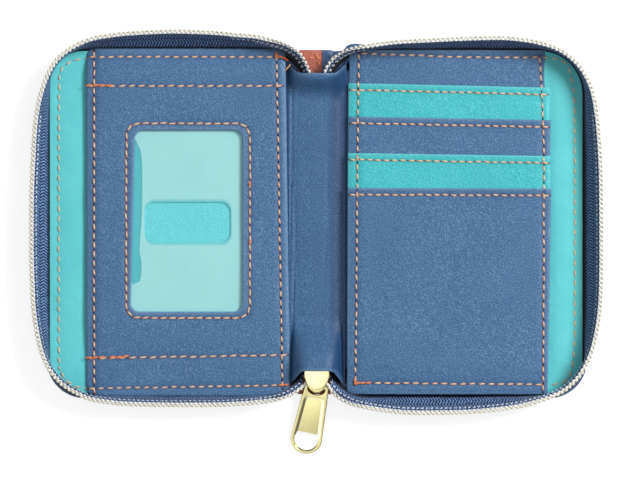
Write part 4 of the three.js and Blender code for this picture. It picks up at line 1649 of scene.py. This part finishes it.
@dataclass
class CardSlots:
    """The right cover's card slots: a base and four lipped leaves sewn down both sides."""

    finish: Finishes
    bottom: float = -56.3
    lip_width: float = 3.3
    lip_rise: float = 0.22
    groove: float = 0.18
    knot_lift: float = 0.16
    leaves: tuple[Leaf, ...] = (
        Leaf("slot_base_leather", "slot_base", ((10.6, 56.4), (75.1, 56.3)), 2.68, (9.8, 75.1),
             lipped=False),
        Leaf("first_slot", "card_slot_1", ((10.3, 45.45), (75.9, 43.98)), 3.28, teal=True),
        Leaf("second_slot", "card_slot_2", ((10.45, 34.5), (76.4, 33.35)), 3.88),
        Leaf("third_slot", "card_slot_3", ((10.1, 22.56), (76.3, 21.58)), 4.48, teal=True),
        Leaf("front_slot_leather", "front_slot", ((10.05, 11.15), (76.6, 10.95)), 5.08,
             (9.8, 75.4)))

    def wave(self, x: Array, y: Array) -> Array:
        """The slow waves that all the leaves share, and their dip at both sewn sides."""
        slow = 0.12 * np.sin(x / 11 + 0.8) * np.cos(y / 21) + 0.05 * np.sin(y / 7 + x / 15)
        sides = 0.35 * (1 - fade(10, 15.5, x)) + 0.3 * fade(71, 76.5, x)
        ends = 0.9 * fade(46, 56, -y)
        return slow - sides - ends

    def lip_line(self, leaf: Leaf, x: Array) -> Array:
        """Y of a leaf's upper edge at X."""
        (x0, y0), (x1, y1) = leaf.lip
        return y0 + (y1 - y0) * (x - x0) / (x1 - x0)

    def height(self, leaf: Leaf, x: Array, y: Array) -> Array:
        """Height of one leaf: its level, the turned lip and the shared waves."""
        below = self.lip_line(leaf, x) - y
        lip = self.lip_rise * (1 - fade(self.lip_width - 0.4, self.lip_width + 0.5, below))
        return leaf.top + (lip if leaf.lipped else 0) + self.wave(x, y)

    def surface(self, x: Array, y: Array) -> Array:
        """Height of the uppermost leaf at X and Y, in the seams' grooves."""
        high = self.height(self.leaves[0], x, y)
        for leaf in self.leaves[1:]:
            over = self.height(leaf, x, y)
            share = fade(-0.6, 0.6, self.lip_line(leaf, x) - y)
            high = high + (over - high) * share
        return high - self.groove

    def side_seams(self) -> list[Seam]:
        """The rows down both sides and across the foot."""
        return [
            Seam(((13.65, 55.6), (13.2, 20), (12.6, -52.8)), pitch=3.02, fill=0.74, hole=0.44),
            Seam(((72.9, 54.6), (73.7, 38), (74.2, 26.8), (74.1, -20), (73.9, -55.7)),
                 pitch=3, fill=0.76, hole=0.42),
            Seam(((12.1, -52.6), (40, -52.85), (74, -53.15)), fill=0.8, hole=0.25),
        ]

    def lip_seams(self, leaf: Leaf) -> list[Seam]:
        """The row under a leaf's lip."""
        if not leaf.lipped:
            return [Seam(((13.9, 55.15), (28, 54.7), (43.5, 54.1), (60, 53.75),
                          (72.9, 54)), fill=0.76, hole=0.25, curved=True)]
        (x0, y0), (x1, y1) = leaf.lip
        return [Seam(((x0 + 0.3, y0 - 2.2), (x1 - 0.3, y1 - 2.3)), pitch=2.73, slant=-4,
                     hole=0.3)]

    def build_leaf(self, leaf: Leaf) -> None:
        """One leaf: its sides run straight from the lip's ends to the foot."""
        (x0, y0), (x1, y1) = leaf.lip
        across = ruled(0, 1, 1 / 82, 0.006)
        tall = y0 - self.bottom
        down = ruled(0, 1, 0.75 / tall, 0.35 / tall)[:, None]
        top_x = x0 + (x1 - x0) * across
        low_x = leaf.foot[0] + (leaf.foot[1] - leaf.foot[0]) * across
        x = top_x * down + low_x * (1 - down)
        y = self.bottom + (self.lip_line(leaf, top_x) - self.bottom) * down
        plan = np.stack([x, np.broadcast_to(y, x.shape)], axis=-1)
        sheet = Sheet(plan, lambda x, y: self.height(leaf, x, y), depth=0.5, roll=0.25,
                      seams=self.side_seams() + self.lip_seams(leaf), press=0.24, painted_edge=0.5,
                      soft=[plan[0], plan[:, 0], plan[:, -1]])
        material = self.finish.teal if leaf.teal else self.finish.blue
        piece(leaf.name, sheet.shape(), material, Body.RIGHT, (leaf.node,))

    def build(self) -> None:
        """Makes the leaves and sews them."""
        seams = self.side_seams()
        for leaf in self.leaves:
            self.build_leaf(leaf)
            seams = seams + self.lip_seams(leaf)
        ends = doubled(((12.3, -51.2), (12.5, -53.4), 1.2, 1.3, 0.42),
                       ((12.2, -52.7), (17.6, -52.6), 1.8, 1.2, 0.36))
        stitches, holes = Needle().sewn(seams, self.surface, SEED + 5)
        knots, _ = Needle().sewn(ends, lambda x, y: self.surface(x, y) + self.knot_lift, SEED + 6)
        piece("slot_knots", knots, self.finish.knot, Body.RIGHT)
        piece("slot_stitches", stitches, self.finish.orange, Body.RIGHT)
        piece("slot_needle_holes", holes, self.finish.hole, Body.RIGHT)


@dataclass
class SpineLining:
    """The leather strip inside the spine, arched over the zip's ends, in two halves."""

    finish: Finishes
    depth: float = 0.55
    half_width: Pair = (11.3, 10.9)
    fold: Pair = (7.4, 10.6)
    upper: tuple[Pair, ...] = (
        (-11.3, 53.2), (-10.5, 52.4), (-8.5, 50.6), (-6.5, 48.95), (-5, 48.65), (4.6, 48.65),
        (5.9, 48.8), (7.4, 49.8), (9.2, 51.7), (10.5, 54.2), (10.9, 54.8))
    lower: tuple[Pair, ...] = (
        (-11.3, -54.6), (-10, -54), (-8.5, -53), (-6.9, -51), (-5.6, -49.3), (-4.4, -48.7),
        (4.2, -48.7), (5.6, -49.2), (7.5, -51.7), (8.5, -53.6), (9.3, -55), (10.9, -55.8))

    def height(self, x: Array, y: Array) -> Array:
        """Height of the strip.

        Its middle is a low back, lowest beside the card slots. Towards each end a
        steep-sided arch takes over, whose section is a superellipse. Fine long creases run
        down it.
        """
        low = 1.5 + 0.5 * fade(-9.5, 1, x) - 0.55 * fade(5, 8.8, x)
        crest = np.where(y < 0, 9.8, 7.9)
        arch = np.where(y < 0, 1 - (np.abs(x) / 8.3) ** 4, 1 - (np.abs(x) / 9.2) ** 3)
        arch = np.clip(arch, 0, 1)
        tall = 1.7 + (crest - 1.7) * arch
        share = np.where(y < 0, fade(31, 47.6, -y), fade(39, 48.2, y) ** 1.7)
        creases = np.zeros(np.broadcast(x, y).shape)
        for place, lean, width, deep, phase in (
                (-8.7, 0.3, 0.3, 0.2, 0.3), (-7.7, 0.45, 0.35, 0.24, 2),
                (-6.5, 0.6, 0.5, 0.15, 4.1), (2.4, 0.7, 0.5, 0.1, 1.2),
                (3.8, 0.5, 0.4, 0.1, 3), (7.1, 0.4, 0.8, 0.16, 5)):
            line = place + lean * np.sin(y / 13 + phase)
            fading = 0.6 + 0.4 * np.sin(y / 9 + 2 * phase)
            creases += deep * fading * np.exp(-((x - line) / width) ** 2)
        return low + (tall - low) * share - creases * (1 - share)

    def build(self) -> None:
        """Makes the two halves, which meet on the middle of the spine.

        The leather is painted darker along a smooth step towards the fold beside the card slots, as
        painted shade where the slots' shadow falls.
        """
        for side in Side:
            reach = self.half_width[0 if side is Side.LEFT else 1]
            x = ruled(0, reach, 0.28)
            x = np.concatenate([x[:-1], [reach - 0.3, reach - 0.1, reach]]) * side.value
            low = np.interp(x, *np.array(self.lower).T)
            high = np.interp(x, *np.array(self.upper).T)
            plan = column_plan(x, low, high, 0.75, 0.3)
            shape = Sheet(plan, self.height, self.depth, roll=0.26, cut_inner=True).shape()
            # Painted shade: the groove value darkens the strip towards the card slots, where their
            # shadow falls.
            shape.values["pressed"] = 2.2 * fade(2.8, 6.6, shape.points[:, 0])
            nodes = ("spine_lining",) if side is Side.LEFT else ()
            piece(f"{side.word}_spine_lining", shape, self.finish.spine, side.body, nodes,
                  self.fold)


@dataclass
class SpineBand:
    """The brown band under the spine, turned in over both ends, and the hem beside it."""

    finish: Finishes
    left: float = -6.3
    right: float = 4.7
    end: float = 56.2
    turned: float = 9.0
    depth: float = 0.36
    low: float = 0.2
    high: float = 1.12

    def seams(self) -> list[Seam]:
        """The stitches across the turned band."""
        return [
            Seam(((-5.4, 53.8), (1.5, 53.7)), pitch=2.3, fill=0.86, hole=0.2),
            Seam(((-0.35, 55.7), (-0.2, 53.6), (1.2, 50.6)), pitch=2.2, fill=0.82, hole=0.2),
        ]

    def build(self) -> None:
        """Carries the band's line, drawn in Y and Z, from its left to its right side."""
        radius = (self.high - self.low) / 2
        bend = arc((self.end - radius, self.low + radius), (radius, radius), -90, 90, 9)
        inside = np.linspace(self.end - radius, self.end - self.turned, 12)[1:]
        half = np.vstack([bend, np.column_stack([inside, np.full(11, self.high)])])
        under = np.linspace(-self.end + radius, self.end - radius, 70)[1:-1]
        line = np.vstack([mirrored(half), np.column_stack([under, np.full(68, self.low)]), half])
        x = ruled(self.left, self.right, 0.9, 0.15)
        middle = np.stack(np.broadcast_arrays(x, line[:, :1], line[:, 1:]), axis=-1)
        inset = np.minimum(x - self.left, self.right - x)[None, :]
        depth = self.depth * np.sqrt(1 - np.clip(1 - inset / 0.16, 0, 0.95) ** 2)
        band = thick(middle, np.broadcast_to(depth, middle.shape[:2]))
        blank = np.zeros(len(band.points))
        band.values = {"pressed": blank, "edge": blank}
        piece("spine_band_leather", band, self.finish.brown, Body.SPINE, ("spine_band",))
        stitches, holes = Needle().sewn(self.seams(), flat_at(self.high + 0.14), SEED + 9)
        piece("band_stitches", stitches, self.finish.knot, Body.SPINE)
        piece("band_needle_holes", holes, self.finish.hole, Body.SPINE)
        self.hem_fold()

    def hem_fold(self) -> None:
        """The narrow fold of blue leather over the band's right side."""
        x = ruled(1.7, 5, 0.4, 0.2)
        plan = column_plan(x, 48.2, 56.3, 0.5, 0.2)

        def height(x: Array, y: Array) -> Array:
            """A round back, lower towards the zip."""
            return 1.95 - 0.12 * (x - 3.3) ** 2 - 0.3 * fade(54.5, 56.3, y)

        seam = Seam(((2.6, 53.7), (5, 53.8)), pitch=2.4)
        sheet = Sheet(plan, height, depth=0.45, roll=0.2, seams=[seam])
        # Painted shade: the hem fold takes the darker copy of the blue leather.
        piece("spine_hem_fold", sheet.shape(), self.finish.shaded_blue, Body.SPINE)


def rounded_plate(outline: Array, low: float, high: float, roll: float,
                  dome: float = 0.0) -> Shape:
    """A closed plate with rolled edges and a domed top.

    Loops of the outline run from the underside's middle over the edge to the top's
    middle. Their height follows a quarter circle in the roll and a parabola on the dome.

    Args:
        outline: the plate's edge seen from above.
        low: height of the underside.
        high: height of the top at its edge.
        roll: radius of the rolled edge.
        dome: how far the middle of the top stands above its edge.

    Returns:
        The closed shape.
    """
    centre = (outline.min(axis=0) + outline.max(axis=0)) / 2
    size = np.linalg.norm(outline - centre, axis=1).mean()
    turn = np.linspace(0, math.pi / 2, 6)
    edge = 1 - roll / size * (1 - np.sin(turn))
    inner = np.linspace(edge[0], 0.08, 9)[1:]
    scales = np.concatenate([inner[::-1], edge, edge[::-1], inner])
    under = low + roll * (1 - np.cos(turn))
    above = high - roll * (1 - np.cos(turn[::-1]))
    heights = np.concatenate([np.full(8, low), under, above,
                              high + dome * (1 - (inner / edge[0]) ** 2)])
    rings = centre + (outline - centre)[None] * scales[:, None, None]
    return tube_of(np.concatenate([rings, np.broadcast_to(
        heights[:, None, None], (*rings.shape[:2], 1))], axis=-1))


@dataclass
class Slider:
    """The zip's slider: two plates, the wedge between them and the crown under them."""

    finish: Finishes
    half_width: float = 4.15
    waist: float = -49.1
    tail: float = -46.0
    nose: float = 5.7
    lip: float = 0.95
    outer_low: float = 4.5
    inner_low: float = 7.3
    plate: float = 1.0

    def outline(self, nose: float) -> Array:
        """A plate from above: straight sides, a square tail and half an ellipse as nose."""
        front = arc((0, self.waist), (self.half_width, nose), -180, 0, 48)
        tail = np.array([[self.half_width, self.tail - 1], [self.half_width - 0.3,
                         self.tail - 0.3], [self.half_width - 1, self.tail]])
        back = np.linspace(self.half_width - 1.4, 1.4 - self.half_width, 12)
        back = np.column_stack([back, np.full(12, self.tail)])
        return np.vstack([front, tail, back, mirrored(tail)])

    def crown(self) -> Shape:
        """The bar and legs that hold the pull: a rounded strip along a bent line."""
        rear, front = self.tail - 1.2, self.waist - self.nose - self.lip + 0.4
        line = curve_through([[rear, 5], [rear - 0.05, 4.1], [rear - 0.6, 2.5],
                              [rear - 2.4, 2], [front + 1.6, 2], [front + 0.3, 2.35],
                              [front, 3.6], [front, 5]], 60)
        way = unit(np.gradient(line, axis=0))
        square = np.stack([-way[:, 1], way[:, 0]], axis=1)
        turn = circle(20)
        across, deep = (half * np.sign(part) * np.abs(part) ** 0.45
                        for half, part in ((1.1, np.cos(turn)), (0.4, np.sin(turn))))
        rings = np.empty((len(line), len(turn), 3))
        rings[..., 0] = across
        rings[..., 1:] = line[:, None] + square[:, None] * deep[None, :, None]
        return tube_of(rings)

    def build(self) -> None:
        """Makes the slider in two finishes: the bright inner plate and the brass body."""
        outer = rounded_plate(self.outline(self.nose + self.lip), self.outer_low,
                              self.outer_low + self.plate, roll=0.3)
        inner = rounded_plate(self.outline(self.nose), self.inner_low,
                              self.inner_low + self.plate, roll=0.34, dome=0.22)
        wedge = curve_through([[-0.7, -54], [0.7, -54], [0.75, -52.2], [0, -50.6],
                               [-0.75, -52.2], [-0.7, -54]], 40)[:-1]
        wedge = rounded_plate(wedge, 5.2, 7.6, roll=0.1)
        rails = []
        for sign in (-1, 1):
            strip = np.array([[3.75, -50.9], [4.14, -50.9], [4.14, -47], [3.75, -47]])
            strip = resampled(closed(strip), 33)[:-1] * (sign, 1)
            rails += [rounded_plate(strip, low, high, roll=0.08) for low, high in ((5.2, 6), (6.8, 7.5))]
        body = joined([outer, wedge, self.crown(), *rails])
        piece("slider_body", body, self.finish.brass, Body.SLIDER, ("slider",), sharp=60)
        piece("slider_inner_plate", inner, self.finish.plate, Body.SLIDER, sharp=60)


@dataclass
class Pull:
    """The pull tab: a rim round a sunk field, an eye for the crown and a grip hole."""

    finish: Finishes
    pivot: tuple[float, float, float] = (0, -53.7, 3.45)
    skew: float = 11.3
    length: float = 23.2
    neck: float = 4.0
    wide: float = 5.15
    foot: float = 4.8
    bar: float = 0.65
    rim: float = 0.85
    depth: float = 1.5
    recess: float = 0.45
    slope: float = 0.7
    field_top: float = 3.7
    field_stop: float = 6.9

    def outline(self, corner: Pair, radii: Pair, wide: float, foot: float) -> Array:
        """An edge with two round upper corners, straight flaring sides and a round foot.

        Args:
            corner: centre of the right corner.
            radii: the corner's half width and half height.
            wide: half width of the foot.
            foot: height of the foot's curve.

        Returns:
            The edge's points.
        """
        top = arc(corner, radii, 0, 90, 8)
        low = arc((0, self.bar + self.foot - self.length), (wide, foot), 180, 360, 31)
        return np.vstack([top, mirrored(top), low])

    def tab(self) -> Array:
        """The tab's edge."""
        return self.outline((self.neck - 1, self.bar - 1), (1, 1), self.wide, self.foot)

    def opening(self) -> Array:
        """The rim's inner edge."""
        half, radius = self.neck - 0.75, 1.3
        return self.outline((half - radius, -self.field_top - radius), (radius, 0.9 * radius),
                            self.wide - self.rim - 0.15, self.foot - self.rim)

    def eye(self) -> Array:
        """The hole for the crown, straight across its top and round below."""
        half, high, depth, corner = 2.9, -self.bar, 2, 0.2
        base = arc((0, high - 2.2 + depth), (half, depth), 180, 360, 24)
        top = arc((half - corner, high - corner), (corner, corner), 0, 90, 6)
        return np.vstack([base, top, mirrored(top)])

    def sunk_field(self) -> Array:
        """The field between the rim's sides, ending where the grip hole begins."""
        high, low = 0.3 - self.field_top, self.bar - self.length + self.field_stop
        wide = self.wide - 0.8
        return np.array([[-3.7, high], [3.7, high], [wide, low], [-wide, low]])

    def slopes(self) -> Shape:
        """The rim's sloping inner walls: a closed ring with four corners in its section."""
        top = resampled(closed(self.opening()), 97)[:-1]
        along = unit(np.roll(top, -1, axis=0) - np.roll(top, 1, axis=0))
        inward = np.stack([-along[:, 1], along[:, 0]], axis=1)
        inward = inward * np.sign((inward * (np.array([0, -11]) - top)).sum())
        foot = self.bar - self.length + self.field_stop
        wide = 0.25 + (self.slope - 0.25) * fade(foot - 2, foot + 1, top[:, 1:])
        shifts = np.concatenate([0 * wide - 0.12, wide, wide, 0 * wide - 0.12], axis=1)[..., None]
        high, floor = self.depth / 2 - 0.06, self.depth / 2 - self.recess
        heights = np.array([high, floor, 0.25 - self.depth / 2, 0.25 - self.depth / 2])
        rings = np.empty((len(top), 4, 3))
        rings[..., :2] = top[:, None] + inward[:, None] * shifts
        rings[..., 2] = heights
        quads = grid_quads(len(top) + 1, 4, True) % (4 * len(top))
        return Shape(rings.reshape(-1, 3), quads).outward()

    def flat_part(self, loops: list[Array], half_depth: float, bevel: float) -> Shape:
        """A flat plate with holes and rounded edges.

        Each loop is carried from the top round a quarter circle, down the side and round
        another quarter circle. A Delaunay net of the loops' points fills the top and the
        underside, where a line to the right of a triangle's middle meets the loops an odd
        number of times.

        Args:
            loops: the edge and the holes.
            half_depth: half of the plate's thickness.
            bevel: radius of its edges.

        Returns:
            The closed shape, in millimetres.
        """
        turn = np.linspace(0, math.pi / 2, 5)
        inset = bevel * (1 - np.sin(turn))
        inset = np.concatenate([inset, inset[::-1]])[:, None, None]
        height = half_depth - bevel * (1 - np.cos(turn))
        height = np.concatenate([height, -height[::-1]])[:, None]
        walls, starts, stops = [], [], []
        for number, loop in enumerate(loops):
            after, before = np.roll(loop, -1, axis=0), np.roll(loop, 1, axis=0)
            way = unit(after - before)
            turned = np.sign((loop[:, 0] * after[:, 1] - after[:, 0] * loop[:, 1]).sum())
            side = turned * (1 if number == 0 else -1)
            rings = np.empty((10, len(loop), 3))
            rings[..., :2] = loop + inset * side * np.stack([-way[:, 1], way[:, 0]], axis=1)
            rings[..., 2] = height
            quads = grid_quads(10, len(loop), True)
            walls.append(Shape(rings.reshape(-1, 3), quads[:, ::-1] if side > 0 else quads))
            starts.append(rings[0, :, :2])
            stops.append(np.roll(rings[0, :, :2], -1, axis=0))
        counts = [len(part) for part in starts]
        shift = np.cumsum([0] + counts[:-1])
        edges = [(at + k, at + (k + 1) % n) for at, n in zip(shift, counts) for k in range(n)]
        start, stop = np.concatenate(starts), np.concatenate(stops)
        found = delaunay_2d_cdt([Vector(p) for p in start], edges, [], 0, 1e-6)
        source = np.array([origin[0] for origin in found[3]])
        tris = source[np.array(found[2])]
        x, y = (start[tris].mean(axis=1)[:, k, None] for k in (0, 1))
        rise = np.where(stop[:, 1] == start[:, 1], 1e-9, stop[:, 1] - start[:, 1])
        meets = start[:, 0] + (y - start[:, 1]) * (stop[:, 0] - start[:, 0]) / rise
        crossed = ((start[:, 1] > y) != (stop[:, 1] > y)) & (x < meets)
        tris = tris[crossed.sum(axis=1) % 2 == 1]
        part = np.repeat(np.arange(len(counts)), counts)
        first = np.cumsum([0] + [10 * n for n in counts[:-1]])[part]
        above = first + np.arange(len(start)) - shift[part]
        below = above + 9 * np.array(counts)[part]
        made = joined(walls)
        made.tris = np.concatenate([above[tris], below[tris][:, ::-1]])
        return made.outward()

    def build(self) -> None:
        """Makes the tab at the origin and puts it on the crown."""
        rim = self.flat_part([self.tab(), self.eye(), self.opening()], self.depth / 2, 0.3)
        web = self.flat_part([self.sunk_field()], self.depth / 2 - self.recess, 0.05)
        shape, slopes = joined([rim, web]), self.slopes()
        tilt = math.atan((self.pivot[2] - self.depth / 2) / self.length)
        turn = Matrix.Rotation(-math.radians(self.skew), 4, "Z") @ Matrix.Rotation(tilt, 4, "X")
        place = Matrix.Translation(Vector(self.pivot)) @ turn
        piece("pull_tab", shape.moved(place), self.finish.brass, Body.PULL, ("pull",),
              sharp=28)
        piece("pull_inner_slopes", slopes.moved(place), self.finish.polish, Body.PULL,
              sharp=40)


@dataclass(frozen=True)
class Lamp:
    """A square soft lamp turned to the wallet, in metres and watts."""

    name: str
    place: tuple[float, float, float]
    size: float
    power: float

    def build(self) -> None:
        """Puts the lamp into the scene."""
        data = bpy.data.lights.new(self.name, "AREA")
        data.size = self.size
        data.energy = self.power
        made = placed(self.name, data)
        made.location = self.place
        made.rotation_euler = Vector(self.place).to_track_quat("Z", "Y").to_euler()


@dataclass
class Studio:
    """The camera straight above, soft lamps and a pale floor, in metres."""

    distance: float = 2.0
    centre: Pair = (-0.00016, -0.0067)
    view_width: float = 0.207
    plane: float = 0.004
    sensor: float = 36.0
    lamps: tuple[Lamp, ...] = (Lamp("key", (1.1, 0.62, 1.12), 0.58, 24.8),
                               Lamp("overhead", (0.0, 0.0, 2.2), 1.2, 4.6))
    floor_half: float = 3.0
    floor_level: float = -0.0001
    floor_glow: float = 0.78
    bright: float = 1.5
    dim: float = 0.15
    even: float = 0.25

    def camera(self) -> None:
        """A long lens looking straight down."""
        data = bpy.data.cameras.new("camera")
        data.sensor_width = self.sensor
        data.lens = self.sensor * (self.distance - self.plane) / self.view_width
        data.clip_start = 0.05
        data.clip_end = 20.0
        made = placed("camera", data)
        made.location = (*self.centre, self.distance)
        bpy.context.scene.camera = made

    def floor(self) -> None:
        """A wide pale floor that shows white to the camera and keeps the shadow."""
        mesh = bpy.data.meshes.new("floor")
        corners = np.array([(-1, -1), (1, -1), (1, 1), (-1, 1)]) * self.floor_half
        mesh.from_pydata([(x, y, self.floor_level) for x, y in corners], [], [(0, 1, 2, 3)])
        graph = Graph("floor")
        path = graph.node("LightPath").outputs["Is Camera Ray"]
        glow = graph.sum("MULTIPLY", path, self.floor_glow)
        mesh.materials.append(graph.surface(
            Base_Color=(0.5, 0.5, 0.5, 1.0), Roughness=0.9,
            Emission_Color=(1.0, 1.0, 1.0, 1.0), Emission_Strength=glow))
        placed("floor", mesh)

    def world(self) -> None:
        """An even white surround. What shines sees it brighter on the left."""
        graph = Graph("studio", world=True)
        place = graph.node("TexCoord").outputs["Generated"]
        across = graph.node("SeparateXYZ", {0: place}).outputs[0]
        side = graph.between(across, -0.7, 0.7, self.bright, self.dim)
        path = graph.node("LightPath").outputs["Is Glossy Ray"]
        strength = graph.node("Mix", {0: path, 2: self.even, 3: side}).outputs[0]
        bpy.context.scene.world = graph.surface(Color=(1.0, 1.0, 1.0, 1.0), Strength=strength)

    def build(self) -> None:
        """Sets up everything round the wallet."""
        bpy.context.scene.view_settings.view_transform = "Standard"
        self.camera()
        for lamp in self.lamps:
            lamp.build()
        self.floor()
        self.world()


def main() -> None:
    """Builds the wallet piece by piece."""
    logging.basicConfig(level=logging.INFO, format="%(message)s")
    finish = Finishes()
    Studio().build()
    for side in Side:
        left = side is Side.LEFT
        Cover(side, finish, outer_edge=87.5 if left else 86.9, bulge=0.3 if left else 0.8).build()
        ZipHalf(side, finish).build()
    CardWindow(finish).build()
    CardSlots(finish).build()
    SpineLining(finish).build()
    SpineBand(finish).build()
    Slider(finish).build()
    Pull(finish).build()


if __name__ == "__main__":
    main()
